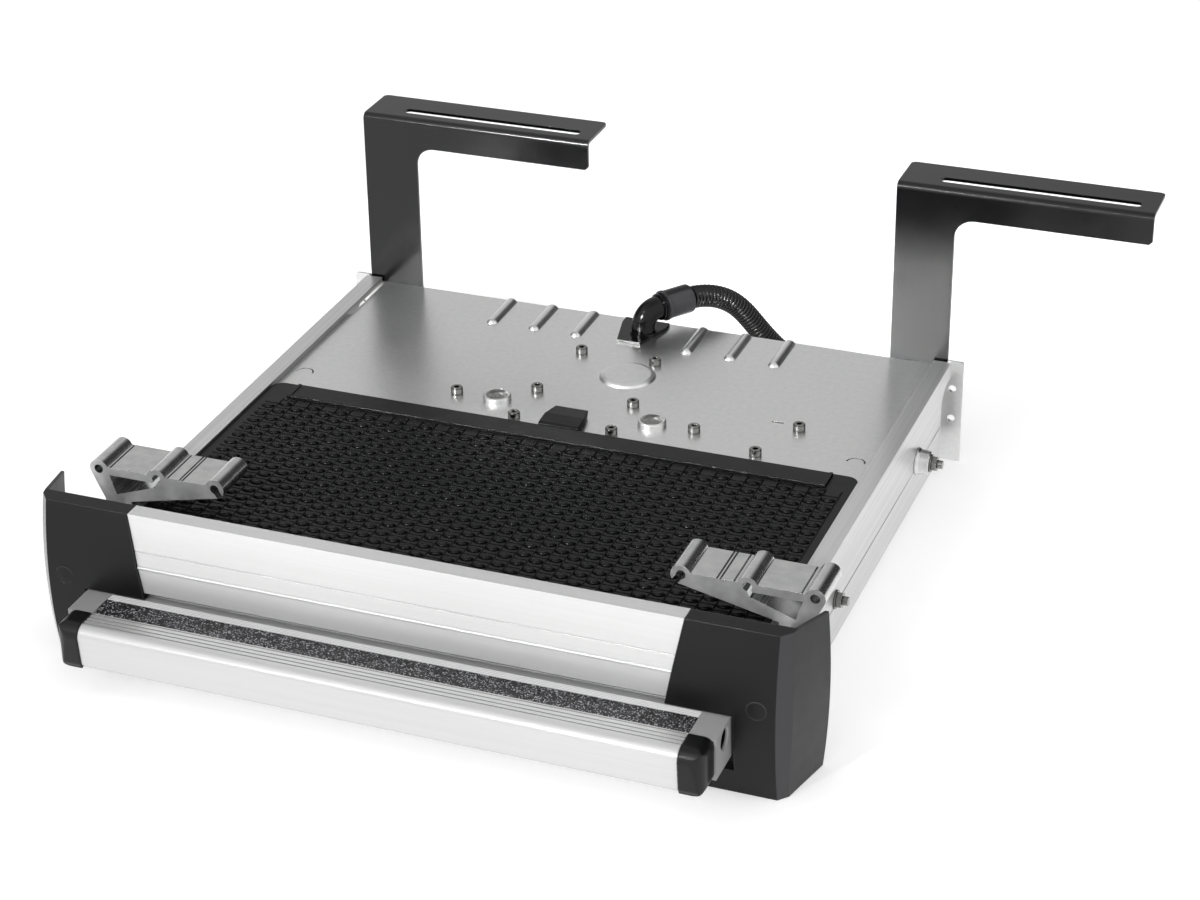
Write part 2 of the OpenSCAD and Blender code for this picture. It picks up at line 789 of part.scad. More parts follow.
module adapter() {
  z0 = rail_top;
  top = adapter_z + 3;
  web = 4.5;
  line_in = 11.5;
  x0 = adapter_boss_x;
  bosses = [x0, x0 - boss_pitch, x0 - 2 * boss_pitch];
  foot_in = rail_x - 9.5;
  foot_out = rail_x + 16.5;
  y0 = adapter_y;
  y1 = adapter_y + adapter_l;
  difference() {
    union() {
      along_y(y0, y1) polygon([
        [x0 + 8.5, adapter_z - 3], [foot_out, z0 + 3.5], [foot_out, z0], [foot_in, z0], [foot_in, z0 + 4.5],
        [bosses[2] - 2, adapter_z - 8.5], [bosses[2], top], [x0, top]
      ]);
      for (x = bosses) translate([x, 0, adapter_z]) rod_y(2 * adapter_boss_r, y0, y1);
    }
    along_y(y0 - 1, y1 + 1) {
      polygon([
        [bosses[1] + 3.5, top - web - 3], [x0 - 10, top - web - 3], [x0 - 16, z0 + 9.5],
        [bosses[1] + 3.5, z0 + 23]
      ]);
      translate([bosses[1], adapter_z]) rotate(-65) translate([0, -2]) square([10.5, 4]);
      translate([bosses[2], adapter_z]) rotate(-125) translate([0, -3]) square([14, 6]);
      for (x = [x0 - line_in, bosses[1] - line_in, bosses[1] - 2 * line_in, bosses[1] - 2 * line_in - 3])
        translate([x, top]) rotate(45) square(1.2, center = true);
    }
    for (x = bosses) translate([x, 0, adapter_z]) rod_y(8.4, y0 - 1, y1 + 1);
    for (y = [-11, 11]) translate([adapter_screw_x, adapter_y + adapter_l / 2 + y, 0])
      rod_z(screw_bore, z0 - 1, z0 + 11);
  }
}

module left_sill_adapter() {
  color("lightgray") handed(-1) adapter();
}

module right_sill_adapter() {
  color("lightgray") handed(1) adapter();
}

module adapter_screws() {
  head = 2.7;
  z0 = rail_top - rail_wall;
  color("silver") for (side = [-1, 1]) for (y = [-11, 11])
    translate([side * adapter_screw_x, adapter_y + adapter_l / 2 + y, 0]) {
      rod_z(9, z0 - head, z0);
      rod_z(screw_d, z0, rail_top + 10);
    }
}

// Screws on the deck: cheese heads with a hexagon socket

module deck_screws() {
  color("silver") for (p = deck_screw_places) translate([p[0], p[1], 0]) difference() {
    union() {
      rod_z(screw_head_d, deck_top, deck_top + screw_head_h - 0.8);
      rod_z(screw_head_d - 1.2, deck_top, deck_top + screw_head_h);
      rod_z(screw_d, deck_top - screw_l, deck_top);
    }
    translate([0, 0, deck_top + screw_head_h - 3.2]) cylinder(d = 5.8, h = 4, $fn = 6);
  }
}

// Guide channels for the rollers, bolted inside the rails

module guide_channel() {
  y0 = rail_front + 3;
  y1 = -37;
  inner = channel_half;
  outer = channel_half + channel_flange;
  difference() {
    along_y(y0, y1) difference() {
      translate([rail_in - channel_depth, axle_z - outer]) square([channel_depth, 2 * outer]);
      translate([rail_in - channel_depth - 1, axle_z - inner])
        square([channel_depth + 1 - channel_web, 2 * inner]);
    }
    for (y = guide_bolt_y) translate([0, y, axle_z]) {
      rod_x(guide_bolt_d + 0.4, channel_x - 1, rail_in + 1);
      translate([channel_x - eps, 0, 0]) rotate([0, 90, 0]) cylinder(d1 = 16.4, d2 = 8.4, h = 4);
    }
  }
}

module left_guide_channel() {
  color("silver") handed(-1) guide_channel();
}

module right_guide_channel() {
  color("silver") handed(1) guide_channel();
}

module guide_bolts() {
  color("silver") for (side = [-1, 1]) handed(side) for (i = [0, 1]) translate([0, guide_bolt_y[i], axle_z]) {
    tip = rail_x + i * spacer_h + guide_nut_h + 5;
    rod_x(guide_bolt_d, channel_x + 0.3, tip);
    translate([channel_x + 0.3, 0, 0]) rotate([0, 90, 0]) cylinder(d1 = 15.4, d2 = 8, h = 3.7);
  }
}

module guide_nuts() {
  color("silver") for (side = [-1, 1]) handed(side) for (i = [0, 1]) translate([0, guide_bolt_y[i], axle_z]) {
    x0 = rail_x + i * spacer_h;
    difference() {
      union() {
        rod_x(17, x0, x0 + 1.5);
        hex_x(13, x0 + 1.5, x0 + guide_nut_h);
      }
      rod_x(guide_bolt_d + 2 * run_gap, x0 - 1, x0 + guide_nut_h + 1);
    }
  }
}

module spacer_bosses() {
  color("lightgray") for (side = [-1, 1]) handed(side) translate([0, guide_bolt_y[1], axle_z])
    translate([rail_x, 0, 0]) rotate([0, 90, 0]) rotate_extrude() polygon([
      [guide_bolt_d / 2 + 0.2, 0], [13, 0], [13, 1.5], [11.8, 3.5], [11, spacer_h - 1],
      [10, spacer_h], [guide_bolt_d / 2 + 0.2, spacer_h]
    ]);
}

// Drive under the deck

module bearing_flange() {
  lobe = 9;
  difference() {
    union() {
      translate([0, 0, deck_under - flange_plate]) linear_extrude(flange_plate) union() {
        circle(23);
        for (a = lobe_angles) rotate(a) {
          translate([lobe_r, 0]) circle(lobe);
          translate([0, -lobe]) square([lobe_r, 2 * lobe]);
        }
      }
      rod_z(34, flange_low, deck_under);
      rod_z(hub_d, deck_under - 1, hub_top);
      for (a = lobe_angles) rotate(a) translate([lobe_r, 0, 0]) rod_z(14, flange_low, deck_under);
    }
    rod_z(shaft_d + 2 * run_gap, flange_low - 1, hub_top + 1);
    for (a = lobe_angles) rotate(a) translate([lobe_r, 0, 0])
      rod_z(screw_bore, flange_low - 1, deck_under + 1);
  }
}

module left_bearing_flange() {
  color("lightgray") handed(-1) translate([gear_x, gear_y, 0]) bearing_flange();
}

module right_bearing_flange() {
  color("lightgray") handed(1) translate([gear_x, gear_y, 0]) bearing_flange();
}

function inv(a) = tan(a) * 180 / PI - a;

// Half the angle that a tooth of a gear with n teeth takes up at radius r
function half_tooth(n, r) =
  let (pitch_r = n * gear_module / 2)
  90 / n - backlash / 4 / pitch_r * 180 / PI + inv(pressure) - inv(acos(min(1, pitch_r * cos(pressure) / r)));

function gear_outline(n, phase) =
  let (r = n * gear_module / 2, radii = [r - 1.25 * gear_module, r, r + gear_module])
  [for (k = [0:n - 1]) each [
    for (i = [0:2]) let (a = phase + k * 360 / n - half_tooth(n, radii[i])) radii[i] * [cos(a), sin(a)],
    for (i = [2:-1:0]) let (a = phase + k * 360 / n + half_tooth(n, radii[i])) radii[i] * [cos(a), sin(a)]
  ]];

// Moulded wheel with its rack pinion below, a thin web and six lightening holes
module drive_gear(phase) {
  hub = 15;
  rim = wheel_r - 12;
  web = 3;
  holes = 6;
  difference() {
    union() {
      translate([0, 0, wheel_low]) linear_extrude(wheel_face) polygon(gear_outline(wheel_teeth, phase));
      translate([0, 0, pinion_low]) linear_extrude(wheel_low - pinion_low + 1)
        polygon(gear_outline(pinion_teeth, 0));
    }
    translate([0, 0, wheel_low + web]) linear_extrude(wheel_face) difference() {
      circle(rim);
      circle(hub);
    }
    for (k = [0:holes - 1]) rotate(k * 360 / holes) translate([(rim + pinion_r) / 2 + 2, 0, 0])
      rod_z(24, wheel_low - 1, wheel_low + wheel_face);
    rod_z(shaft_d, pinion_low - 1, wheel_low + wheel_face + 1);
  }
}

module left_drive_gear() {
  color("ivory") translate([-gear_x, gear_y, 0]) drive_gear(wheel_step / 2);
}

module right_drive_gear() {
  color("ivory") translate([gear_x, gear_y, 0]) drive_gear(0);
}

// Shaft with its retaining ring in a groove above the hub
module drive_shaft() {
  ring_z = hub_top + 0.2;
  ring_t = 1.2;
  groove = 0.6;
  difference() {
    rod_z(shaft_d, pinion_low, shaft_top);
    translate([0, 0, shaft_top - 2.5]) cylinder(d1 = 0, d2 = 5, h = 2.5);
    difference() {
      rod_z(shaft_d + 2, ring_z, ring_z + ring_t);
      rod_z(shaft_d - 2 * groove, ring_z - 1, ring_z + ring_t + 1);
    }
  }
  difference() {
    rod_z(shaft_d + 4, ring_z, ring_z + ring_t - 0.1);
    rod_z(shaft_d - 2 * groove, ring_z - 1, ring_z + ring_t + 1);
    translate([-shaft_d / 4, 0, ring_z - 1]) cube([shaft_d / 2, shaft_d, ring_t + 2]);
  }
}

module left_drive_shaft() {
  color("silver") translate([-gear_x, gear_y, 0]) drive_shaft();
}

module right_drive_shaft() {
  color("silver") translate([gear_x, gear_y, 0]) drive_shaft();
}

module motor_pinion() {
  color("silver") translate([motor_x, motor_y, wheel_low]) difference() {
    linear_extrude(wheel_face) polygon(gear_outline(motor_teeth, motor_phase));
    rod_z(motor_shaft_d, -1, wheel_face + 1);
  }
}

module motor_shaft() {
  color("silver") translate([motor_x, motor_y, 0])
    rod_z(motor_shaft_d, gearbox_low + 8, wheel_low + wheel_face + 2);
}

// Way from the motor's axis to a stand-off
function standoff_way(side) = [side * standoff_x - motor_x, standoff_y - motor_y];

module motor_bracket() {
  bar = 20;
  color("silver") difference() {
    translate([0, 0, motor_plate_top - motor_plate]) linear_extrude(motor_plate) union() {
      translate([motor_x, motor_y]) circle(gearbox_d / 2 + 3);
      for (side = [-1, 1]) translate([side * standoff_x, standoff_y]) circle(standoff_d / 2 + 3);
      translate([-standoff_x, standoff_y - bar / 2]) square([2 * standoff_x, bar]);
      for (side = [-1, 1]) translate([motor_x, motor_y])
        rotate(atan2(standoff_way(side)[1], standoff_way(side)[0])) translate([0, -bar / 2])
          square([norm(standoff_way(side)), bar]);
    }
    translate([motor_x, motor_y, 0])
      rod_z(pilot_d + 2 * seat, motor_plate_top - motor_plate - 1, motor_plate_top + 1);
  }
}

module motor_standoffs() {
  color("silver") for (side = [-1, 1]) translate([side * standoff_x, standoff_y, 0]) difference() {
    rod_z(standoff_d, motor_plate_top, deck_under);
    rod_z(screw_bore, deck_top - screw_l - 1, deck_under + 1);
  }
}

module motor_gearbox() {
  r = gearbox_d / 2;
  color("dimgray") translate([motor_x, motor_y, 0]) rotate_extrude() polygon([
    [motor_shaft_d / 2 + run_gap, gearbox_top + 2], [pilot_d / 2, gearbox_top + 2],
    [pilot_d / 2, gearbox_top], [r, gearbox_top], [r, gearbox_top - 6], [r - 2, gearbox_top - 7],
    [r - 2, gearbox_low + 2], [r - 4, gearbox_low], [0, gearbox_low], [0, gearbox_low + 8],
    [motor_shaft_d / 2 + run_gap, gearbox_low + 8]
  ]);
}

module motor_can() {
  r = can_d / 2;
  color("darkgray") translate([motor_x, motor_y, gearbox_low - can_h]) union() {
    rotate_extrude() polygon([
      [0, 0], [6, 0], [6, 3], [r - 2, 3], [r, 5], [r, can_h], [0, can_h]
    ]);
    for (x = [-12, 12]) translate([x - 3, -0.5, -2]) cube([6, 1, 5.5]);
  }
}

module control_unit() {
  z0 = deck_under - unit_h;
  lid = 4;
  color([0.15, 0.15, 0.16]) difference() {
    union() {
      translate([0, 0, z0 + lid]) linear_extrude(unit_h - lid)
        round_rect([unit_x[0], unit_y[0]], [unit_x[1], unit_y[1]], 4);
      translate([0, 0, z0]) linear_extrude(lid)
        round_rect([unit_x[0] + 2, unit_y[0] + 2], [unit_x[1] - 2, unit_y[1] - 2], 3);
      block([unit_x[0] + 12, unit_x[0] + 48], [unit_y[1] - 1, unit_y[1] + 14], [z0 + 8, z0 + 24]);
    }
    block([unit_x[0] + 14, unit_x[0] + 46], [unit_y[1] + 3, unit_y[1] + 15], [z0 + 10, z0 + 22]);
    for (p = unit_screws) translate([p[0], p[1], 0])
      rod_z(screw_bore, deck_top - screw_l - 1, deck_under + 1);
  }
}

// Cable gland: a plate on the deck with a hollow elbow, then a sleeve that takes the conduit

// The elbow from height z0 up, round the bend and out to x1
module elbow_path(d, z0, x1) {
  rod_z(d, z0, elbow_z - elbow_r);
  rotate([0, 0, elbow_turn]) translate([elbow_r, 0, elbow_z - elbow_r]) rotate([-90, 0, 0])
    rotate_extrude(angle = 90) translate([-elbow_r, 0]) circle(d = d);
  elbow_run() rod_x(d, elbow_r, x1);
}

module cable_gland() {
  color([0.06, 0.06, 0.06]) difference() {
    union() {
      translate([0, 0, deck_top]) linear_extrude(gland_plate) polygon([
        [-14, -52], [10, -52], [23, -12], [23, -1], [-23, -1], [-23, -12]
      ]);
      translate([gland[0], gland[1], 0]) {
        elbow_path(elbow_d, deck_top, sleeve_start);
        rod_z(elbow_d + 3, deck_top, deck_top + gland_plate + 2);
        elbow_run() for (x = [sleeve_start - 5.5, sleeve_start - 2.5]) rod_x(elbow_d + 4, x, x + 1.5);
      }
    }
    translate([gland[0], gland[1], 0]) elbow_path(elbow_d - 5, deck_top - 1, sleeve_start + 1);
  }
}

// Places what runs along the elbow's outlet
module elbow_run() {
  rotate([0, 0, elbow_turn]) translate([0, 0, elbow_z]) children();
}

module conduit_sleeve() {
  color([0.08, 0.08, 0.08]) translate([gland[0], gland[1], 0]) elbow_run() difference() {
    union() {
      rod_x(sleeve_d, sleeve_start, sleeve_end);
      rod_x(sleeve_d + 1.6, sleeve_start, sleeve_start + 2);
    }
    rod_x(elbow_d - 5, sleeve_start - 1, sleeve_end);
    rod_x(conduit_d + 2 * seat, sleeve_stop, sleeve_end + 1);
  }
}

// Route of the conduit: out of the sleeve, over the chosen points, and straight into the connector
run_dir = [cos(elbow_turn), sin(elbow_turn), 0];
run_at = [gland[0], gland[1], elbow_z];
last_point = conduit_free[len(conduit_free) - 1];
conduit_route = concat(
  [for (s = [sleeve_stop, sleeve_stop + 12, sleeve_end]) run_at + s * run_dir],
  conduit_free,
  [for (s = [12, conduit_last]) last_point + [s, 0, 0]]
);

// Point at parameter u of the smooth curve through the points p
function curve(p, u) =
  let (
    i = min(floor(u), len(p) - 2), t = u - i,
    a = i > 0 ? p[i - 1] : 2 * p[0] - p[1], b = p[i], c = p[i + 1],
    d = i + 2 < len(p) ? p[i + 2] : 2 * p[i + 1] - p[i]
  )
  (2 * b + (c - a) * t + (2 * a - 5 * b + 4 * c - d) * t * t + (3 * b - 3 * c + d - a) * t * t * t) / 2;

fine = 8;
fine_count = (len(conduit_route) - 1) * fine;
fine_points = [for (k = [0:fine_count]) curve(conduit_route, k / fine)];
function fine_step(k) = norm(fine_points[min(k + 1, fine_count)] - fine_points[k]);
fine_runs = [for (k = 0, s = 0; k <= fine_count; s = s + fine_step(k), k = k + 1) s];
conduit_length = fine_runs[fine_count];
conduit_ribs = min(200, floor(conduit_length / conduit_pitch));
run_table = [for (k = [0:fine_count]) [fine_runs[k], k / fine]];

// A ring of eight points of radius r round the curve, s along it
function ring(s, r) =
  let (
    u = lookup(s, run_table), h = 0.02,
    t0 = curve(conduit_route, min(u + h, len(conduit_route) - 1)) - curve(conduit_route, max(u - h, 0)),
    t = t0 / norm(t0), n0 = cross(t, [0, 0, 1]), n = n0 / norm(n0), m = cross(n, t),
    c = curve(conduit_route, u)
  )
  [for (k = [0:7]) let (a = k * 45 + 22.5) c + r * (cos(a) * n + sin(a) * m)];

// Triangles between ring i and ring j, each of eight points
function ring_faces(i, j) = [for (k = [0:7]) each
  let (a = i * 8 + k, b = i * 8 + (k + 1) % 8, c = j * 8 + k, d = j * 8 + (k + 1) % 8)
  [[a, c, b], [b, c, d]]];

module conduit() {
  pitch = conduit_length / conduit_ribs;
  rib = 0.9;
  outer = conduit_d / 2;
  outside = [for (k = [0:2 * conduit_ribs]) ring(k * pitch / 2, k % 2 == 0 ? outer - rib : outer)];
  bore_rings = ceil(conduit_ribs / 2);
  inside = [for (k = [0:bore_rings])
    ring(conduit_length - k * conduit_length / bore_rings, conduit_bore / 2)];
  rings = concat(outside, inside);
  count = len(rings);
  color([0.07, 0.07, 0.07]) polyhedron(
    points = [for (r = rings) each r],
    faces = [for (k = [0:count - 1]) each ring_faces(k, (k + 1) % count)],
    convexity = 10
  );
}

module harness_connector() {
  x0 = last_point[0] + conduit_last;
  half = 15;
  color([0.05, 0.05, 0.05]) translate([x0, last_point[1], last_point[2]]) difference() {
    union() {
      rod_x(conduit_d + 0.6, 0, 12);
      along_y(-half, half) polygon([
        [11, -9], [16, -11.8], [connector_l, -11.8], [connector_l, 10], [16, 10], [11, 9]
      ]);
      block([18, connector_l - 8], [-6, 6], [9, 13]);
    }
    block([connector_l - 12, connector_l + 1], [-half + 2.5, half - 2.5], [-9, 7.5]);
    for (y = [-8, 0, 8]) translate([connector_l - 20, y, -1]) rod_x(4, 0, 12);
  }
}

// Sliding tread

// Section of the nose, drawn in by d
module nose_section(d) {
  low_r = 5 - d;
  top_r = nose_round;
  union() {
    translate([nose_front + 4 + d, nose_low + d]) square([nose_rear - nose_front - 4 - 2 * d, 20]);
    translate([nose_front + top_r, tread_top - top_r]) circle(top_r - d);
    polygon([
      [nose_front + d, tread_top - top_r], [nose_front + 2.3 + d, nose_low + 5],
      [nose_front + 2.3 + 5, nose_low + d],
      [nose_rear - d, nose_low + d], [nose_rear - d, tread_top - d], [nose_front + top_r, tread_top - d]
    ]);
    translate([nose_front + 2.3 + 5, nose_low + 5]) circle(low_r);
  }
}

module nose_profile() {
  web_y = nose_front + 29;
  port = 9;
  color("whitesmoke") along_x(-arm_in, arm_in) difference() {
    union() {
      difference() {
        nose_section(0);
        nose_section(nose_wall);
      }
      translate([web_y, nose_low + 1]) square([nose_wall, tread_top - nose_low - 2]);
      translate([nose_screw_y, nose_screw_z]) circle(d = port);
      translate([nose_screw_y - 2, nose_screw_z]) square([4, tread_top - nose_screw_z - 1]);
      translate([grit_rear - grit_w - 1, tread_top - grit_seat - nose_wall]) square([grit_w + 2, nose_wall]);
    }
    translate([grit_rear - grit_w - seat, tread_top - grit_seat]) square([grit_w + 2 * seat, grit_seat + 1]);
    for (k = [0:3]) translate([nose_rear - 2.2 - k * 2.2, tread_top]) rotate(45) square(1.3, center = true);
    for (k = [0:3]) translate([grit_rear - grit_w - 3.4 - k * rib_pitch, tread_top - 0.6]) square([1.8, 1.8]);
    translate([nose_screw_y, nose_screw_z]) circle(d = screw_bore);
  }
}

module grit_strip() {
  color([0.12, 0.12, 0.12]) translate([0, 0, tread_top - grit_seat])
    block([-arm_in + 1, arm_in - 1], [grit_rear - grit_w, grit_rear], [0, grit_t]);
}

// Nose cap: rounded outer corner, with a spigot into the arm
module nose_cap() {
  x0 = arm_in;
  x1 = arm_in + 22;
  proud = 1.5;
  y0 = nose_front - proud;
  r = 13;
  wall = arm_wall + seat;
  union() {
    intersection() {
      along_x(x0, x1) intersection() {
        nose_section(-proud);
        translate([y0, 0]) square([arm_front - y0, fascia_top]);
      }
      linear_extrude(fascia_top) union() {
        translate([x0, y0]) square([x1 - x0 - r, arm_front - y0]);
        translate([x0, y0 + r]) square([x1 - x0, arm_front - y0 - r]);
        translate([x1 - r, y0 + r]) circle(r);
      }
      along_y(y0, arm_front + 1)
        round_rect([x0 - 12, nose_low - proud], [x1, tread_top + proud], 9);
    }
    block([x0 + wall, arm_out - wall - 2], [arm_front - 1, arm_front + 10],
      [arm_low + wall, tread_top - wall]);
  }
}

module left_nose_cap() {
  color([0.05, 0.05, 0.05]) handed(-1) nose_cap();
}

module right_nose_cap() {
  color([0.05, 0.05, 0.05]) handed(1) nose_cap();
}

module side_arm() {
  difference() {
    block([arm_in, arm_out], [arm_front, arm_rear], [arm_low, tread_top]);
    block([arm_in + arm_wall, arm_out - arm_wall], [arm_front - 1, arm_rear + 1],
      [arm_low + arm_wall, tread_top - arm_wall]);
    for (y = roller_y) translate([0, y, axle_z]) rod_x(axle_d + 2 * run_gap, arm_in - 1, arm_out + 1);
    translate([0, nose_screw_y, nose_screw_z]) {
      rod_x(screw_d + 0.4, arm_in - 1, arm_in + arm_wall + 1);
      rod_x(arm_port_d, arm_out - arm_wall - 1, arm_out + 1);
      translate([arm_out - 1, 0, 0]) rotate([0, 90, 0])
        cylinder(d1 = arm_port_d, d2 = arm_port_d + 4, h = 2);
    }
  }
}

module left_side_arm() {
  color("gray") handed(-1) side_arm();
}

module right_side_arm() {
  color("gray") handed(1) side_arm();
}

module nose_screws() {
  head = arm_in + arm_wall;
  color("silver") for (side = [-1, 1]) handed(side) translate([0, nose_screw_y, nose_screw_z]) difference() {
    union() {
      rod_x(screw_d, arm_in - 14, head);
      rod_x(10, head, head + 5);
    }
    hex_x(5, head + 2, head + 6);
  }
}

// Tread plank behind the nose: ribbed top on long legs
module tread_plank() {
  skin = 2.2;
  leg = 3;
  legs = 5;
  span = plank_rear - nose_rear - leg;
  grooves = floor((plank_rear - nose_rear) / 8) - 1;
  color("whitesmoke") along_x(-arm_in, arm_in) difference() {
    union() {
      translate([nose_rear, tread_top - skin]) square([plank_rear - nose_rear, skin]);
      for (k = [0:legs]) translate([nose_rear + k * span / legs, tread_top - plank_h]) square([leg, plank_h]);
    }
    for (k = [1:grooves]) translate([nose_rear + 8 * k, tread_top]) rotate(45) square(1.4, center = true);
  }
}

// Carriage plate welded between the arms, with a wing beside each arm and a tongue under each rack
module carriage_plate() {
  y0 = plank_rear - 5;
  y1 = gear_y - 31;
  tongue_rear = -10;
  color("silver") union() {
    translate([0, 0, carriage_low]) linear_extrude(carriage) difference() {
      union() {
        translate([-arm_in, y0]) square([2 * arm_in, y1 - y0]);
        for (side = [-1, 1]) handed(side) {
          translate([arm_in - 40, y1 - 1]) square([40, arm_rear - 9 - y1]);
          translate([rack_x - 12, y1 - 1]) square([42, tongue_rear + 1 - y1]);
        }
      }
      for (side = [-1, 1]) for (y = rack_screw_y) translate([side * rack_screw_x, y]) circle(d = screw_bore);
    }
    block([-arm_in + 2, arm_in - 2], [y0, y0 + carriage], [carriage_low - 10, carriage_low]);
  }
}

// Rack: the gap at the pinion's tooth is centred on the shaft when the tread is in
module rack() {
  first = -2;
  half = tooth_pitch / 4 - backlash / 4;
  add = gear_module;
  ded = 1.25 * gear_module;
  tip = half - add * tan(pressure);
  root = half + ded * tan(pressure);
  y_first = gear_y + (first + 0.5) * tooth_pitch;
  y_last = y_first + (rack_teeth - 1) * tooth_pitch;
  difference() {
    translate([0, 0, carriage_top]) linear_extrude(rack_h) polygon(concat(
      [[rack_x + rack_back, y_last + tooth_pitch / 2], [rack_x + rack_back, y_first - tooth_pitch / 2],
        [rack_x + ded, y_first - tooth_pitch / 2]],
      [for (k = [0:rack_teeth - 1]) let (y = y_first + k * tooth_pitch) each [
        [rack_x + ded, y - root], [rack_x - add, y - tip], [rack_x - add, y + tip], [rack_x + ded, y + root]
      ]],
      [[rack_x + ded, y_last + tooth_pitch / 2]]
    ));
    for (y = rack_screw_y) translate([rack_screw_x, y, 0])
      rod_z(screw_bore, carriage_top - 1, carriage_top + 11);
  }
}

module left_rack() {
  color("ivory") handed(-1) rack();
}

module right_rack() {
  color("ivory") handed(1) rack();
}

module rack_screws() {
  head = 2.5;
  color("silver") for (side = [-1, 1]) for (y = rack_screw_y) translate([side * rack_screw_x, y, 0]) {
    rod_z(9, carriage_low - head, carriage_low);
    rod_z(screw_d, carriage_low, carriage_top + 10);
  }
}

// Roller axles: riveted through the arm, with a shoulder inside and a head outside the roller
module roller_axles() {
  play = 0.2;
  head = 1.2;
  x1 = roller_x + roller_w + play;
  color("silver") for (side = [-1, 1]) handed(side) for (y = roller_y) translate([0, y, axle_z]) {
    rod_x(axle_d, arm_in, x1 + head);
    rod_x(axle_d + 4, arm_out, roller_x - play);
    rod_x(axle_d + 3, x1, x1 + head);
  }
}

module roller(side, y) {
  r = roller_d / 2;
  color([0.85, 0.85, 0.82]) handed(side) translate([roller_x, y, axle_z]) rotate([0, 90, 0])
    rotate_extrude(convexity = 4) polygon([
      [axle_d / 2 + run_gap, 0], [r - 0.8, 0], [r, 0.8], [r, roller_w - 0.8], [r - 0.8, roller_w],
      [axle_d / 2 + run_gap, roller_w]
    ]);
}

module left_front_roller() {
  roller(-1, roller_y[0]);
}

module left_rear_roller() {
  roller(-1, roller_y[1]);
}

module right_front_roller() {
  roller(1, roller_y[0]);
}

module right_rear_roller() {
  roller(1, roller_y[1]);
}

top_plate();
left_rail();
right_rail();
rear_panel();
front_cross_member();
front_fascia();
left_end_cap();
right_end_cap();
end_cap_plugs();
deck_mat();
mat_edge_strip();
mat_lift_tab();
left_mounting_bracket();
right_mounting_bracket();
bracket_bolts();
bracket_nuts();
left_sill_adapter();
right_sill_adapter();
adapter_screws();
deck_screws();
guide_bolts();
guide_nuts();
spacer_bosses();
left_guide_channel();
right_guide_channel();
left_bearing_flange();
right_bearing_flange();
motor_bracket();
motor_standoffs();
motor_gearbox();
motor_can();
control_unit();
cable_gland();
conduit_sleeve();
conduit();
harness_connector();
nose_profile();
grit_strip();
left_nose_cap();
right_nose_cap();
left_side_arm();
right_side_arm();
nose_screws();
tread_plank();
carriage_plate();
left_rack();
right_rack();
rack_screws();
roller_axles();
left_front_roller();
left_rear_roller();
right_front_roller();
right_rear_roller();
left_drive_gear();
left_drive_shaft();
right_drive_gear();
right_drive_shaft();
motor_pinion();
motor_shaft();
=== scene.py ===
# %% [markdown]
# # A pull-out step for a caravan
# A flat metal cassette hangs under the door of a caravan. Its tread slides out on two side arms when the
# motor turns two toothed wheels against two racks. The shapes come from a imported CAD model, so this lesson is
# about finishes, light and the small forms that the CAD model leaves out.

# %% Load the frame
import json
import math

import bmesh
import bpy
from mathutils import Matrix, Vector


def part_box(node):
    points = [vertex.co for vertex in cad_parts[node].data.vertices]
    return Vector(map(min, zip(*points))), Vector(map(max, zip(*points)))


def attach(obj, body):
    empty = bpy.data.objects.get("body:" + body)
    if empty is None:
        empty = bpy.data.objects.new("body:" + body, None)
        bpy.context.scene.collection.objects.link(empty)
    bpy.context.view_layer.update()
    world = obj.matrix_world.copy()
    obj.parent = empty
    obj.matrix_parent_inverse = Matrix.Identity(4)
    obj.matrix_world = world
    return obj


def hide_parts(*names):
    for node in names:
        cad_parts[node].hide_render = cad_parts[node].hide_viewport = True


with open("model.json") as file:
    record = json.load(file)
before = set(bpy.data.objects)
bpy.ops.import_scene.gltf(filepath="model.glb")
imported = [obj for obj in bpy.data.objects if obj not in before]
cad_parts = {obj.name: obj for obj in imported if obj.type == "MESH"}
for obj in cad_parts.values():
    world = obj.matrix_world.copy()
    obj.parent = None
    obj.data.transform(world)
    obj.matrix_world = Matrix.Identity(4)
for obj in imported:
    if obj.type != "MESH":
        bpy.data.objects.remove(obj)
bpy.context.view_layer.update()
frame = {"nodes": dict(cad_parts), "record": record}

# %% [markdown]
# ## The camera
# The photograph was taken from the front, a little to the right and well above the step. The camera was
# solved from the corners of the cassette, so its place and axes are plain numbers. The small shift is the
# photograph's own framing: the step doesn't stand in the middle of the picture.

# %% Camera at the photograph's angle
FRAME_WIDTH, FRAME_HEIGHT = 1200, 900
FOCAL_PIXELS = 2867.334
CENTRE_PIXEL = (528.677, 445.335)
SENSOR_WIDTH = 36.0
CAMERA_PLACE = (0.8847175, -2.4327019, 1.3395182)
CAMERA_RIGHT = (0.926992, 0.374353, -0.023348)
CAMERA_UP = (-0.156761, 0.443228, 0.882595)
CAMERA_FORWARD = (-0.340751, 0.814499, -0.469553)
CLIP_START, CLIP_END = 0.05, 60

camera_data = bpy.data.cameras.new("photo_camera")
camera_data.sensor_width = SENSOR_WIDTH
camera_data.lens = FOCAL_PIXELS / FRAME_WIDTH * camera_data.sensor_width
camera_data.shift_x = (FRAME_WIDTH / 2 - CENTRE_PIXEL[0]) / FRAME_WIDTH
camera_data.shift_y = (CENTRE_PIXEL[1] - FRAME_HEIGHT / 2) / FRAME_WIDTH
camera_data.clip_start, camera_data.clip_end = CLIP_START, CLIP_END
camera = bpy.data.objects.new("photo_camera", camera_data)
turn = Matrix((CAMERA_RIGHT, CAMERA_UP, [-v for v in CAMERA_FORWARD])).transposed()
camera.matrix_world = Matrix.Translation(CAMERA_PLACE) @ turn.to_4x4()
bpy.context.scene.collection.objects.link(camera)
bpy.context.scene.camera = camera
print("lens", round(camera_data.lens, 2), "mm")
print("shift", round(camera_data.shift_x, 4), round(camera_data.shift_y, 4))

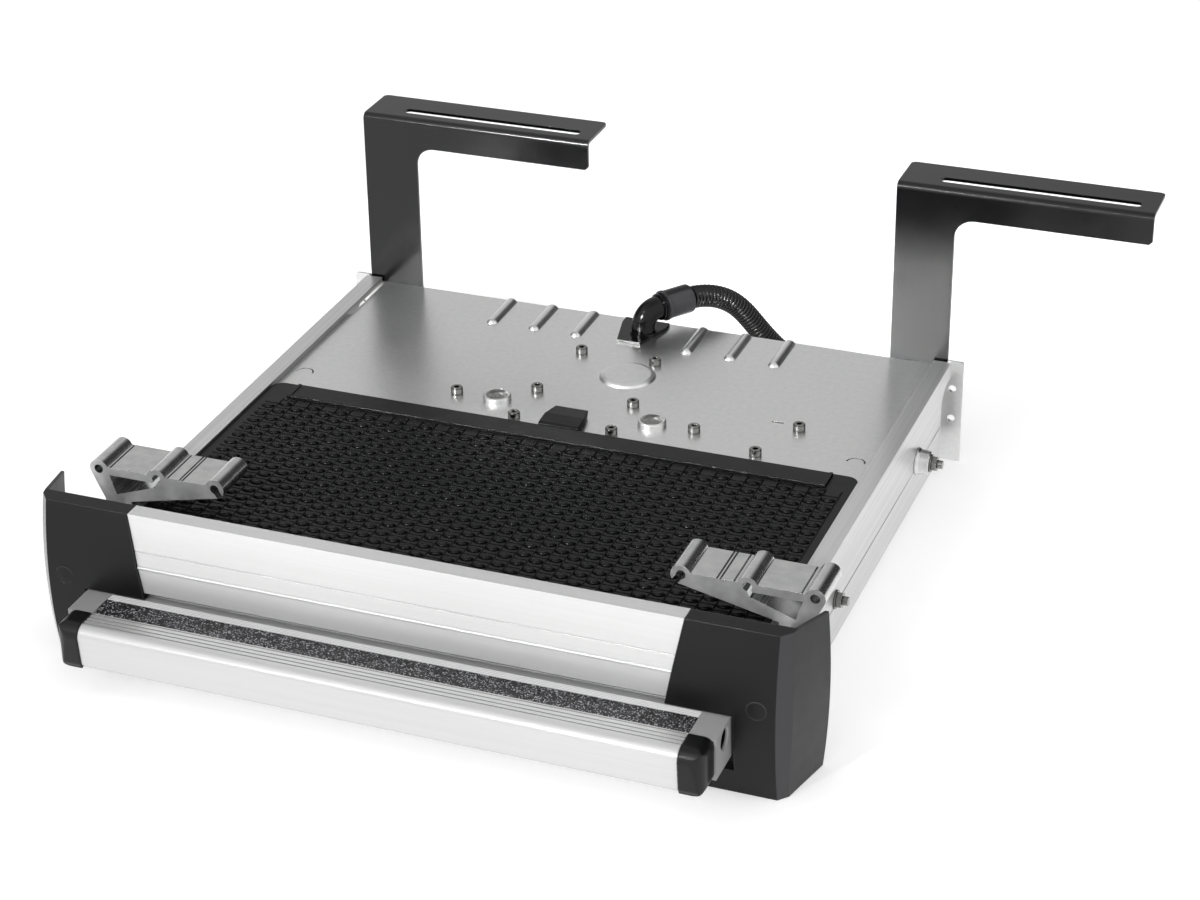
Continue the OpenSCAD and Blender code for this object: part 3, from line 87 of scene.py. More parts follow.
# %% [markdown]
# ## The route of the conduit
# The wires leave the cassette in a ribbed conduit. It comes out of the elbow's sleeve, droops behind the rear
# panel, lies on the ground and ends in its connector. The route is one smooth curve through points in
# millimetres, the same as in the CAD source.

# %% Points along the conduit
CONDUIT_DIAMETER = 0.023
GLAND = (4.8, -28.2, 125.1)
RUN_ANGLE = math.radians(54.5)
RUN_STEPS = (30, 42, 54)  # along the sleeve, from the gland's centre
LAST = (204, 109.5, 12)
TAIL_STEPS = (12, 24)  # beyond the last point, into the connector
SPAN_STEPS = 12
away = (math.cos(RUN_ANGLE), math.sin(RUN_ANGLE))
chosen = [[GLAND[0] + step * away[0], GLAND[1] + step * away[1], GLAND[2]] for step in RUN_STEPS]
chosen += [
    [45, 28, 123.5], [53.5, 39, 120], [62, 49.5, 114], [70, 59, 105.5], [77, 67, 95], [83.5, 74, 83],
    [90, 80.5, 70.5], [97, 86.5, 58.5], [105, 92, 47], [115, 97, 37], [127, 101.5, 28], [141, 105, 21],
    [156, 107.5, 16], [172, 109, 13], [188, 109.5, 12], LAST,
]
chosen += [[LAST[0] + step, *LAST[1:]] for step in TAIL_STEPS]
chosen = [Vector(point) / 1000 for point in chosen]


def smooth_route(points, steps):
    """A curve through every point, each span cut into equal steps."""
    padded = [2 * points[0] - points[1], *points, 2 * points[-1] - points[-2]]
    route = []
    for a, b, c, d in zip(padded, padded[1:], padded[2:], padded[3:]):
        for step in range(steps):
            t = step / steps
            route.append(((2 * b) + (c - a) * t + (2 * a - 5 * b + 4 * c - d) * t * t
                          + (3 * b - 3 * c + d - a) * t ** 3) / 2)
    return [*route, points[-1]]


route = smooth_route(chosen, SPAN_STEPS)
runs = [0.0]
for a, b in zip(route, route[1:]):
    runs.append(runs[-1] + (b - a).length)
conduit_length = runs[-1]
print("conduit", round(conduit_length * 1000, 1), "mm over", len(route), "points")

# %% [markdown]
# ## The ribbed conduit
# Corrugated conduit is blown into a mould whose ribs are round on top and square at the root. Here one long
# line, with each rib's profile, is spun round the X axis into a straight tube. Then every ring is carried onto
# the route, as the real tube is bent when it is laid. Spin makes its faces in an order that changes from run to
# run, so they are sorted by their corners into one fixed order.

# %% The profile of one rib
RIB_PITCH, RIB_DEPTH, CONDUIT_BORE = 0.0042, 0.0023, 0.016
ROOT_SHARE, ARC_STEPS, ARC_FULLNESS = 0.44, 8, 0.6
CONDUIT_SIDES = 24
WELD = 1e-6

# Pairs of a share of the pitch and a share of the depth below the crown: a flat root, then a round crown.
rib_profile = [(0.0, 1.0), (ROOT_SHARE, 1.0)]
for arc_step in range(1, ARC_STEPS):
    share = ROOT_SHARE + (1 - ROOT_SHARE) * arc_step / ARC_STEPS
    rib_profile.append((share, 1 - math.sin(math.pi * arc_step / ARC_STEPS) ** ARC_FULLNESS))
rib_count = round(conduit_length / RIB_PITCH)
pitch = conduit_length / rib_count
print(rib_count, "ribs,", round(pitch * 1000, 3), "mm apart")

# %% Spin and lay the conduit


def new_piece(name, shape, body):
    """Turns a bmesh into an object of this name that moves with a body of the frame."""
    mesh = bpy.data.meshes.new(name)
    shape.to_mesh(mesh)
    shape.free()
    piece = bpy.data.objects.new(name, mesh)
    bpy.context.scene.collection.objects.link(piece)
    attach(piece, body)
    print(name, len(mesh.polygons), "faces")
    return piece


def spun(line, sides):
    """A line of points spun once round the X axis, with the seam closed and the faces in a fixed order."""
    shape = bmesh.new()
    verts = [shape.verts.new(point) for point in line]
    edges = [shape.edges.new(pair) for pair in zip(verts, verts[1:])]
    bmesh.ops.spin(shape, geom=verts + edges, axis=(1, 0, 0), cent=(0, 0, 0), dvec=(0, 0, 0), angle=math.tau,
                   steps=sides, use_merge=True)
    bmesh.ops.remove_doubles(shape, verts=shape.verts, dist=WELD)
    bmesh.ops.recalc_face_normals(shape, faces=shape.faces)
    shape.verts.index_update()
    count = len(shape.verts)
    shape.faces.sort(key=lambda face: min(vert.index for vert in face.verts) * count
                     + max(vert.index for vert in face.verts))
    return shape


def carried(distance):
    """The point of the route at this distance and its direction there."""
    spot = min(range(len(runs) - 1), key=lambda k: abs(runs[k] - distance))
    if runs[spot] > distance and spot:
        spot -= 1
    part = (distance - runs[spot]) / (runs[spot + 1] - runs[spot])
    near, far = route[max(0, spot - 1)], route[min(len(route) - 1, spot + 2)]
    return route[spot].lerp(route[spot + 1], part), (far - near).normalized()


crown = CONDUIT_DIAMETER / 2
line = [(number * pitch, CONDUIT_BORE / 2, 0) for number in range(rib_count, -1, -1)]
for number in range(rib_count):
    line += [((number + along) * pitch, crown - depth * RIB_DEPTH, 0) for along, depth in rib_profile]
line += [(conduit_length, crown - RIB_DEPTH, 0), line[0]]
conduit_shape = spun(line, CONDUIT_SIDES)
for vert in conduit_shape.verts:
    spot, along = carried(vert.co.x)
    side = along.cross(Vector((0, 0, 1))).normalized()
    vert.co = spot + side * vert.co.y + side.cross(along) * vert.co.z
bmesh.ops.recalc_face_normals(conduit_shape, faces=conduit_shape.faces)
if conduit_shape.calc_volume(signed=True) < 0:
    bmesh.ops.reverse_faces(conduit_shape, faces=conduit_shape.faces)
ribbed_conduit = new_piece("ribbed_conduit", conduit_shape, "cassette")
for face in ribbed_conduit.data.polygons:
    face.use_smooth = True
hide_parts("conduit")

# %% [markdown]
# ## Colours and nodes
# Two small tools serve every finish: one turns a painter's sRGB hex value into the linear colour that a shader
# works in, and one adds a node with its settings and its links. The recipes that most finishes share are soft
# clouds of a real size, patches of two colours, and a fine relief.

# %% Tools for materials


def linear(code):
    """An sRGB hex value as a linear colour with alpha."""
    parts = [int(code[k:k + 2], 16) / 255 for k in (1, 3, 5)]
    return (*[v / 12.92 if v <= 0.04045 else ((v + 0.055) / 1.055) ** 2.4 for v in parts], 1.0)


def add(material, kind, settings=None, links=None):
    """Adds a node. Settings are its own or its inputs' values, links are outputs joined to its inputs."""
    node = material.node_tree.nodes.new(kind)
    for name, value in (settings or {}).items():
        if isinstance(name, str) and hasattr(node, name):
            setattr(node, name, value)
        else:
            node.inputs[name].default_value = value
    for name, output in (links or {}).items():
        material.node_tree.links.new(output, node.inputs[name])
    return node


def join(material, output, shader, socket):
    """Links an output to the named input of a shader."""
    material.node_tree.links.new(output, shader.inputs[socket])


def finish(name, code, metallic, roughness, **settings):
    """A material with its Principled shader, and the object coordinates that its patterns read."""
    material = bpy.data.materials.new(name)
    material.use_nodes = True
    shader = material.node_tree.nodes["Principled BSDF"]
    shader.inputs["Base Color"].default_value = linear(code)
    shader.inputs["Metallic"].default_value = metallic
    shader.inputs["Roughness"].default_value = roughness
    for setting, value in settings.items():
        shader.inputs[setting.replace("_", " ")].default_value = value
    place = add(material, "ShaderNodeTexCoord").outputs["Object"]
    print("finish:", name)
    return material, shader, place


print("mid grey in linear light:", [round(value, 3) for value in linear("#808080")[:3]])

# %% Patterns of a real size
MM = 0.001
NOISE_RANGE = {"From Min": 0.3, "From Max": 0.7}  # nearly all values of a soft noise


def wear(material, place, size, low=0.0, high=1.0, stretch=(1, 1, 1), detail=2.0):
    """Soft noise of a real size in metres, spread between two values."""
    spread = add(material, "ShaderNodeMapping", {"vector_type": "POINT", "Scale": stretch}, {"Vector": place})
    cloud = add(material, "ShaderNodeTexNoise", {"Scale": 1 / size, "Detail": detail},
                {"Vector": spread.outputs[0]})
    return add(material, "ShaderNodeMapRange", {**NOISE_RANGE, "To Min": low, "To Max": high},
               {"Value": cloud.outputs[0]}).outputs[0]


def mottled(material, place, size, light, dark, stretch=(1, 1, 1)):
    """Soft patches of a real size in metres, in colours between two hex values."""
    patches = wear(material, place, size, stretch=stretch)
    return add(material, "ShaderNodeMix", {"data_type": "RGBA", 6: linear(dark), 7: linear(light)},
               {0: patches}).outputs[2]


def relief(material, height, depth, shader, edge=0.5 * MM):
    """Bumps of a real depth in metres, on edges that catch the light as if rounded to a radius."""
    rounded = add(material, "ShaderNodeBevel", {"samples": 4, "Radius": edge})
    bump = add(material, "ShaderNodeBump", {"Strength": 1.0, "Distance": depth},
               {"Height": height, "Normal": rounded.outputs[0]})
    join(material, bump.outputs[0], shader, "Normal")


# %% [markdown]
# ## Galvanised sheet
# Steel strip that ran through a bath of zinc. The zinc freezes into crystals a few millimetres wide, the
# spangle, which on modern sheet is only just seen as a change of gloss, and rolling leaves faint cloudy
# marks.

# %% Galvanised sheet
galvanised, shader, place = finish("galvanised_steel_sheet", "#E6E6E5", 1.0, 0.32)
crystals = add(galvanised, "ShaderNodeTexVoronoi", {"feature": "F1", "Scale": 1 / (6 * MM)},
               {"Vector": place})
grey = add(galvanised, "ShaderNodeSeparateColor", {}, {"Color": crystals.outputs["Color"]}).outputs[0]
cloud = wear(galvanised, place, 60 * MM, 0.28, 0.33)
gloss = add(galvanised, "ShaderNodeMath", {"operation": "MULTIPLY_ADD", 1: 0.02}, {0: grey, 2: cloud})
join(galvanised, gloss.outputs[0], shader, "Roughness")
spangle = mottled(galvanised, place, 5 * MM, "#EAEAE9", "#E2E3E3")
join(galvanised, spangle, shader, "Base Color")
relief(galvanised, wear(galvanised, place, 1.2 * MM), 0.003 * MM, shader)

# %% [markdown]
# ## Anodised aluminium
# The fascia, the tread and the nose are pressed through a die, etched and anodised. That leaves an even
# silvery satin whose fine lines run the length of the extrusion, here along X, and only just show.

# %% Anodised aluminium
GROOVE_SHADE_RANGE = {"From Min": 0.35, "From Max": 0.9}  # how open a groove's floor and a face are


def drawn_along(material, shader, axis, amount):
    """Stretches reflections across the die lines, which lie along this axis."""
    along = add(material, "ShaderNodeCombineXYZ", {"XYZ".index(axis): 1.0})
    join(material, along.outputs[0], shader, "Tangent")
    shader.inputs["Anisotropic"].default_value = amount


# Painted shade: ambient occlusion darkens a colour in grooves, sockets and corners, where shade falls.
def painted_groove_shade(material, open_colour, code, reach):
    """The given colour, and a darker hex value painted as shade in grooves narrower than about twice the reach.
    """
    openness = add(material, "ShaderNodeAmbientOcclusion", {"samples": 8, "Distance": reach}).outputs["AO"]
    depth = add(material, "ShaderNodeMapRange", GROOVE_SHADE_RANGE, {"Value": openness}).outputs[0]
    return add(material, "ShaderNodeMix", {"data_type": "RGBA", 6: linear(code)},
               {0: depth, 7: open_colour}).outputs[2]


anodised, shader, place = finish("satin_anodised_aluminium", "#D6D6D6", 0.55, 0.42)
join(anodised, wear(anodised, place, 1.0 * MM, 0.4, 0.44, stretch=(0.01, 1, 1)), shader, "Roughness")
streaks = mottled(anodised, place, 2.5 * MM, "#D8D8D8", "#D4D4D4", stretch=(0.008, 1, 1))
# Painted shade: the grooves of the fascia and the nose are coloured dark grey.
join(anodised, painted_groove_shade(anodised, streaks, "#2E2E2E", 1.5 * MM), shader, "Base Color")
relief(anodised, wear(anodised, place, 0.6 * MM, stretch=(0.01, 1, 1)), 0.0008 * MM, shader, 0.3 * MM)
drawn_along(anodised, shader, "X", 0.6)

# %% [markdown]
# ## The rails
# The two rails are roll-formed from the same galvanised sheet as the deck. The rollers drag fine lines along
# Y into the zinc, and the lines spread every reflection sideways, so a rail looks darker than the deck beside
# it.

# %% Rails
rolled_rail, shader, place = finish("rolled_galvanised_rail", "#D6D6D6", 0.9, 0.28)
join(rolled_rail, wear(rolled_rail, place, 4 * MM, 0.3, 0.36, stretch=(1, 0.01, 1)), shader, "Roughness")
streaks = mottled(rolled_rail, place, 3 * MM, "#DADADA", "#CCCCCC", stretch=(1, 0.01, 1))
# Painted shade: the rails' grooves and inner corners are coloured darker grey.
join(rolled_rail, painted_groove_shade(rolled_rail, streaks, "#6A6A6A", 1.2 * MM), shader, "Base Color")
relief(rolled_rail, wear(rolled_rail, place, 0.7 * MM, stretch=(1, 0.004, 1)), 0.004 * MM, shader)
drawn_along(rolled_rail, shader, "Y", 0.7)

# %% [markdown]
# ## Mill-finish aluminium
# The adapters are sawn from a bare extrusion, which lies along Y. It is brighter than anodised metal, its die
# lines are coarser, and handling has left a few dull patches. The saw leaves its two end faces rougher, with
# teeth marks and smears.

# %% Mill-finish aluminium
SAWN_FROM = 0.7  # how squarely a sawn face looks along Y
SAWN_ROUGHNESS, SAWN_METALLIC = 0.4, 0.8

mill, shader, place = finish("mill_finish_aluminium", "#D4D4D3", 1.0, 0.24)
facing = add(mill, "ShaderNodeSeparateXYZ", {},
             {"Vector": add(mill, "ShaderNodeNewGeometry").outputs["True Normal"]})
across = add(mill, "ShaderNodeMath", {"operation": "ABSOLUTE"}, {0: facing.outputs["Y"]})
sawn = add(mill, "ShaderNodeMath", {"operation": "GREATER_THAN", 1: SAWN_FROM},
           {0: across.outputs[0]}).outputs[0]
drawn = wear(mill, place, 1.6 * MM, 0.22, 0.28, stretch=(1, 0.03, 1))
roughness = add(mill, "ShaderNodeMix", {3: SAWN_ROUGHNESS}, {0: sawn, 2: drawn}).outputs[0]
join(mill, roughness, shader, "Roughness")
lines = wear(mill, place, 1.0 * MM, 0.0, 0.012, stretch=(1, 0.03, 1))
teeth = wear(mill, place, 0.8 * MM, stretch=(0.3, 1, 1), detail=3.0)
height = add(mill, "ShaderNodeMix", {}, {0: sawn, 2: lines, 3: teeth}).outputs[0]
relief(mill, height, 0.03 * MM, shader, 0.3 * MM)
skin = mottled(mill, place, 12 * MM, "#D6D6D5", "#C6C7C7")
smears = mottled(mill, place, 22 * MM, "#EEEEEE", "#BCBCBC")
bare = add(mill, "ShaderNodeMix", {"data_type": "RGBA"}, {0: sawn, 6: skin, 7: smears}).outputs[2]
# Painted shade: the adapters' grooves and hollows are coloured darker grey.
join(mill, painted_groove_shade(mill, bare, "#6A6A6A", 1.0 * MM), shader, "Base Color")
metallic = add(mill, "ShaderNodeMix", {2: 1.0, 3: SAWN_METALLIC}, {0: sawn}).outputs[0]
join(mill, metallic, shader, "Metallic")

# %% [markdown]
# ## Zinc-plated steel
# Bolts, screws, nuts and pins are bright zinc plated: a shiny coat a few microns thick, a little hazy.

# %% Zinc-plated steel
zinc, shader, place = finish("zinc_plated_steel", "#8E8E8C", 1.0, 0.16)
join(zinc, wear(zinc, place, 2 * MM, 0.12, 0.2), shader, "Roughness")
haze = mottled(zinc, place, 3 * MM, "#969694", "#858583")
# Painted shade: the sockets and recesses of screws and nuts are coloured nearly black.
join(zinc, painted_groove_shade(zinc, haze, "#1C1C1C", 2.5 * MM), shader, "Base Color")
relief(zinc, wear(zinc, place, 0.4 * MM), 0.001 * MM, shader, 0.35 * MM)

# %% [markdown]
# ## Black mouldings
# The end caps are moulded in a spark-eroded tool, so their black plastic has an even fine grain. It thins out
# on their edges, which are smoother and catch a line of light, and which are also coloured lighter grey as a
# painted highlight. The caps on the nose are a plain satin, the elbow comes from a polished tool, and the
# conduit is blown polyamide, smooth with a soft shine.

# %% Black mouldings
CAP_EDGE, EDGE_ROUGHNESS = 1.3 * MM, 0.1
CHAMFER_RANGE = {"From Min": 0.96, "From Max": 0.86}  # a normal's largest part, on a face and on a chamfer


def edges(material, radius):
    """1 on chamfers and on edges rounded to this radius, 0 on faces square to the part."""
    rounded = add(material, "ShaderNodeBevel", {"samples": 8, "Radius": radius}).outputs[0]
    upright = add(material, "ShaderNodeVectorMath", {"operation": "ABSOLUTE"}, {0: rounded}).outputs[0]
    sides = add(material, "ShaderNodeSeparateXYZ", {}, {0: upright}).outputs
    most = add(material, "ShaderNodeMath", {"operation": "MAXIMUM"}, {0: sides[0], 1: sides[1]}).outputs[0]
    most = add(material, "ShaderNodeMath", {"operation": "MAXIMUM"}, {0: most, 1: sides[2]}).outputs[0]
    return add(material, "ShaderNodeMapRange", CHAMFER_RANGE, {"Value": most}).outputs[0]


grained, shader, place = finish("grained_black_plastic", "#09090A", 0.0, 0.3, IOR=1.5, Specular_IOR_Level=0.27)
rim = edges(grained, CAP_EDGE)
face_gloss = wear(grained, place, 18 * MM, 0.34, 0.4)
roughness = add(grained, "ShaderNodeMix", {3: EDGE_ROUGHNESS}, {0: rim, 2: face_gloss}).outputs[0]
join(grained, roughness, shader, "Roughness")
# Painted highlight: edges and chamfers are coloured lighter grey, standing in for the line of light on them.
black_with_painted_edge_highlight = {"data_type": "RGBA", 6: linear("#09090A"), 7: linear("#3A3A3C")}
join(grained, add(grained, "ShaderNodeMix", black_with_painted_edge_highlight, {0: rim}).outputs[2], shader, "Base Color")
relief(grained, wear(grained, place, 0.55 * MM, detail=3.0), 0.03 * MM, shader, CAP_EDGE)

satin, shader, place = finish("satin_black_plastic", "#08080A", 0.0, 0.34, IOR=1.5, Specular_IOR_Level=0.35)
join(satin, wear(satin, place, 14 * MM, 0.3, 0.38), shader, "Roughness")
relief(satin, wear(satin, place, 0.5 * MM), 0.01 * MM, shader)

glossy, shader, place = finish("polished_black_plastic", "#030304", 0.0, 0.15, IOR=1.5,
                               Specular_IOR_Level=0.32)
join(glossy, wear(glossy, place, 12 * MM, 0.12, 0.2), shader, "Roughness")
relief(glossy, wear(glossy, place, 3 * MM), 0.006 * MM, shader)

blown, shader, place = finish("blown_polyamide", "#050506", 0.0, 0.24, IOR=1.5, Specular_IOR_Level=0.55)
join(blown, wear(blown, place, 6 * MM, 0.2, 0.26), shader, "Roughness")

# %% [markdown]
# ## Rubber and grit
# The mat is a calendered rubber sheet, dull with a faint sheen on its bumps. The strip on the nose is sharp
# mineral grit on a film. A few grains are smoother and are coloured light grey, a painted glint that stands in
# for their flash of light. The real grains are finer than the render can show, so they are drawn at one
# millimetre.

# %% Rubber and grit
rubber, shader, place = finish("calendered_rubber", "#09090A", 0.0, 0.36, IOR=1.5, Specular_IOR_Level=0.25)
join(rubber, wear(rubber, place, 25 * MM, 0.33, 0.4), shader, "Roughness")
relief(rubber, wear(rubber, place, 0.7 * MM, detail=3.0), 0.02 * MM, shader)

grit, shader, place = finish("mineral_grit", "#17171A", 0.0, 0.55, IOR=1.55)
grains = add(grit, "ShaderNodeTexVoronoi", {"feature": "F1", "Scale": 1 / (1.0 * MM)}, {"Vector": place})
glint = add(grit, "ShaderNodeSeparateColor", {}, {"Color": grains.outputs["Color"]}).outputs[0]
# Painted glint: a few grains are coloured light grey, standing in for their flashes of light.
painted_glint_mask = add(grit, "ShaderNodeMapRange", {"From Min": 0.8, "From Max": 0.9}, {"Value": glint}).outputs[0]
grit_with_painted_glints = {"data_type": "RGBA", 6: linear("#08080A"), 7: linear("#C4C4C8")}
join(grit, add(grit, "ShaderNodeMix", grit_with_painted_glints, {0: painted_glint_mask}).outputs[2], shader, "Base Color")
polish = add(grit, "ShaderNodeMapRange", {"To Min": 0.6, "To Max": 0.15}, {"Value": glint}).outputs[0]
join(grit, polish, shader, "Roughness")
relief(grit, grains.outputs["Distance"], 0.9 * MM, shader)

# %% [markdown]
# ## Powder coats
# Powder is sprayed on and melts into an even skin with a very fine orange peel. The brackets are black satin,
# the side arms grey.

# %% Powder coats
black_coat, shader, place = finish("black_powder_coat", "#040405", 0.0, 0.2, IOR=1.5, Specular_IOR_Level=0.5)
join(black_coat, wear(black_coat, place, 30 * MM, 0.17, 0.23), shader, "Roughness")
relief(black_coat, wear(black_coat, place, 1.1 * MM), 0.004 * MM, shader)

grey_coat, shader, place = finish("grey_powder_coat", "#9C9C9C", 0.0, 0.34, IOR=1.5)
join(grey_coat, wear(grey_coat, place, 30 * MM, 0.32, 0.42), shader, "Roughness")
relief(grey_coat, wear(grey_coat, place, 1.1 * MM), 0.012 * MM, shader)

# %% [markdown]
# ## Inside the cassette
# The wheels, rollers and racks are natural nylon, a milky white. The motor's pinion is pressed and sintered
# steel, dull with oil, and the motor and its gearbox have a dark passivated skin.

# %% Nylon, sintered steel and the motor's skin
nylon, shader, place = finish("natural_nylon", "#E4E1D6", 0.0, 0.4, IOR=1.53)
join(nylon, wear(nylon, place, 12 * MM, 0.34, 0.48), shader, "Roughness")
join(nylon, mottled(nylon, place, 30 * MM, "#E8E5DB", "#DCD8CA"), shader, "Base Color")

sintered, shader, place = finish("sintered_steel", "#8D8D8F", 1.0, 0.4)
join(sintered, wear(sintered, place, 1.0 * MM, 0.32, 0.55), shader, "Roughness")
relief(sintered, wear(sintered, place, 0.5 * MM), 0.02 * MM, shader)

passivated, shader, place = finish("dark_passivated_steel", "#4A4B50", 1.0, 0.38)
join(passivated, wear(passivated, place, 8 * MM, 0.3, 0.5), shader, "Roughness")
stains = mottled(passivated, place, 20 * MM, "#55565B", "#3C3D43")
join(passivated, stains, shader, "Base Color")

# %% [markdown]
# ## Every part gets its finish
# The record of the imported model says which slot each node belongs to, so one table from slot to finish
# dresses them all. The rails and the conduit then get their own.

# %% Dress the nodes
SLOT_FINISH = {
    "galvanised_sheet": galvanised, "anodised_aluminium": anodised, "mill_aluminium": mill,
    "moulded_black_plastic": grained, "gloss_black_plastic": glossy, "black_rubber": rubber, "grit": grit,
    "black_powder_coat": black_coat, "grey_powder_coat": grey_coat, "zinc_plated_steel": zinc,
    "sintered_steel": sintered, "nylon": nylon, "motor_steel": passivated, "conduit_plastic": blown,
}


def dress(piece, material):
    """The piece's only material."""
    piece.data.materials.clear()
    piece.data.materials.append(material)


for part in frame["record"]["subparts"]:
    dress(frame["nodes"][part["node"]], SLOT_FINISH[part["material_slot"]])
for side in ("left", "right"):
    dress(frame["nodes"][side + "_rail"], rolled_rail)
dress(ribbed_conduit, blown)
print(len(frame["nodes"]), "nodes dressed")

# %% [markdown]
# ## The mat's bumps
# The mat is embossed with low oval bumps in staggered columns, 14.5 mm apart across the tread and 15.5 mm
# along it, and thin ribs lie between the columns and between the bumps of a column. A bump map would lose
# their outline, so each bump is a real dome with few faces: a disc whose rings are lifted and whose underside
# is closed, copied all over the mat in front of its edge strip. Each rib is a narrow closed wedge, the hull
# of six points.

# %% One bump
COLUMN_PITCH, ROW_PITCH = 14.5 * MM, 15.5 * MM
BUMP_RADIUS, BUMP_HEIGHT, BUMP_SQUEEZE, BUMP_SIDES = 6.9 * MM, 1.6 * MM, 0.68, 14
RING_WIDTHS = (1.6 * MM, 2.3 * MM)
CROWN_FLATNESS = 2.4
mat_low, mat_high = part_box("deck_mat")
strip_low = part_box("mat_edge_strip")[0]

bump_shape = bmesh.new()
bmesh.ops.create_circle(bump_shape, cap_ends=True, segments=BUMP_SIDES, radius=BUMP_RADIUS)
middle = list(bump_shape.faces)
for ring_width in RING_WIDTHS:
    bmesh.ops.inset_region(bump_shape, faces=middle, thickness=ring_width, use_even_offset=True)
bmesh.ops.poke(bump_shape, faces=middle)
for vert in bump_shape.verts:
    out = min(1.0, vert.co.length / BUMP_RADIUS)
    lift = BUMP_HEIGHT * (1 - out ** CROWN_FLATNESS)
    vert.co = (vert.co.x, vert.co.y * BUMP_SQUEEZE, mat_high.z + lift)
bmesh.ops.holes_fill(bump_shape, edges=bump_shape.edges, sides=0)
one_bump = bpy.data.meshes.new("one_bump")
bump_shape.to_mesh(one_bump)
bump_shape.free()
print("one bump:", len(one_bump.polygons), "faces")

# %% Emboss the mat
RIB_HEIGHT, RIB_HALF_WIDTH = 0.5 * MM, 0.9 * MM
SIDE_MARGIN, FRONT_MARGIN, BACK_MARGIN, RIB_MARGIN = 9 * MM, 8 * MM, 6 * MM, 2 * MM
SMOOTH_FROM = 0.05  # faces that look up at least this much are shaded smooth, undersides stay flat


def rib(shape, start, end):
    """A closed ridge between two points of the mat."""
    start, end = Vector((*start, mat_high.z)), Vector((*end, mat_high.z))
    side = (end - start).cross(Vector((0, 0, 1))).normalized() * RIB_HALF_WIDTH
    ways = (-side, side, Vector((0, 0, RIB_HEIGHT)))
    corners = [shape.verts.new(point + way) for point in (start, end) for way in ways]
    bmesh.ops.convex_hull(shape, input=corners)


mat_shape = bmesh.new()
columns = int((mat_high.x - SIDE_MARGIN) / COLUMN_PITCH)
for column in range(-columns, columns + 1):
    y = mat_low.y + FRONT_MARGIN + (ROW_PITCH / 2 if column % 2 else 0)
    edge = (column + 0.5) * COLUMN_PITCH
    rib(mat_shape, (edge, mat_low.y + RIB_MARGIN), (edge, strip_low.y - RIB_MARGIN))
    while y < strip_low.y - BACK_MARGIN:
        rib(mat_shape, (edge - COLUMN_PITCH, y + ROW_PITCH / 2), (edge, y + ROW_PITCH / 2))
        first = len(mat_shape.verts)
        mat_shape.from_mesh(one_bump)
        mat_shape.verts.ensure_lookup_table()
        bmesh.ops.translate(mat_shape, verts=mat_shape.verts[first:], vec=(column * COLUMN_PITCH, y, 0))
        y += ROW_PITCH
bmesh.ops.recalc_face_normals(mat_shape, faces=mat_shape.faces)
mat_bumps = new_piece("mat_bumps", mat_shape, "cassette")
for face in mat_bumps.data.polygons:
    face.use_smooth = face.normal.z > SMOOTH_FROM
dress(mat_bumps, rubber)

# %% [markdown]
# ## Soft moulded edges
# The caps on the ends of the nose and the mat's lifting tab are moulded with generous radii. Their CAD solids
# are closed, so a copy of each is voxel remeshed and smoothed, which rounds every edge at once, as a worn
# mould does.

# %% Round the nose caps and the tab
CAP_VOXEL, CAP_PASSES = 0.6 * MM, 16
TAB_VOXEL, TAB_PASSES = 0.45 * MM, 10
SMOOTHING = 0.5
SEAM = 0.01 * MM


def softened(name, node, voxel, passes, material, body):
    """A rounded copy of a CAD node, which it replaces."""
    shape = bmesh.new()
    shape.from_mesh(frame["nodes"][node].data)
    bmesh.ops.remove_doubles(shape, verts=shape.verts, dist=SEAM)
    piece = new_piece(name, shape, body)
    remesh = piece.modifiers.new("voxels", "REMESH")
    remesh.mode, remesh.voxel_size, remesh.use_smooth_shade = "VOXEL", voxel, True
    soft = piece.modifiers.new("soft", "SMOOTH")
    soft.factor, soft.iterations = SMOOTHING, passes
    result = bpy.data.meshes.new_from_object(piece.evaluated_get(bpy.context.evaluated_depsgraph_get()))
    piece.modifiers.clear()
    piece.data = result
    dress(piece, material)
    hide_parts(node)
    print(name, "remeshed to", len(result.polygons), "faces")
    return piece


for side in ("left", "right"):
    soft_cap = softened(side + "_soft_nose_cap", side + "_nose_cap", CAP_VOXEL, CAP_PASSES, satin, "step")
soft_tab = softened("soft_lift_tab", "mat_lift_tab", TAB_VOXEL, TAB_PASSES, rubber, "cassette")

# %% [markdown]
# ## Floor and studio light
# The photograph was taken on white paper in a white studio. The paper glows a little, so that it stays white
# beside the part. Metal shows what it mirrors, so the studio is described by direction: it is white all round,
# with four darker places that the beads, the rails and the deck pick up. Two long strip lamps, one in front on
# the left and one above it, draw the bright lines along edges. Two narrow spots light the deck before each
# bracket, and the black uprights mirror those patches.

# %% Floor
FLOOR_HALF, FLOOR_DROP, PAPER_GLOW = 6, 0.0005, 0.42
floor_shape = bmesh.new()
bmesh.ops.create_grid(floor_shape, x_segments=1, y_segments=1, size=FLOOR_HALF)
floor_mesh = bpy.data.meshes.new("paper_floor")
floor_shape.to_mesh(floor_mesh)
floor_shape.free()
floor = bpy.data.objects.new("paper_floor", floor_mesh)
bpy.context.scene.collection.objects.link(floor)
floor.location.z = -FLOOR_DROP
paper = finish("white_paper", "#F4F4F4", 0.0, 0.9, Emission_Color=linear("#FFFFFF"),
               Emission_Strength=PAPER_GLOW)[0]
dress(floor, paper)
print("floor", 2 * FLOOR_HALF, "m wide")

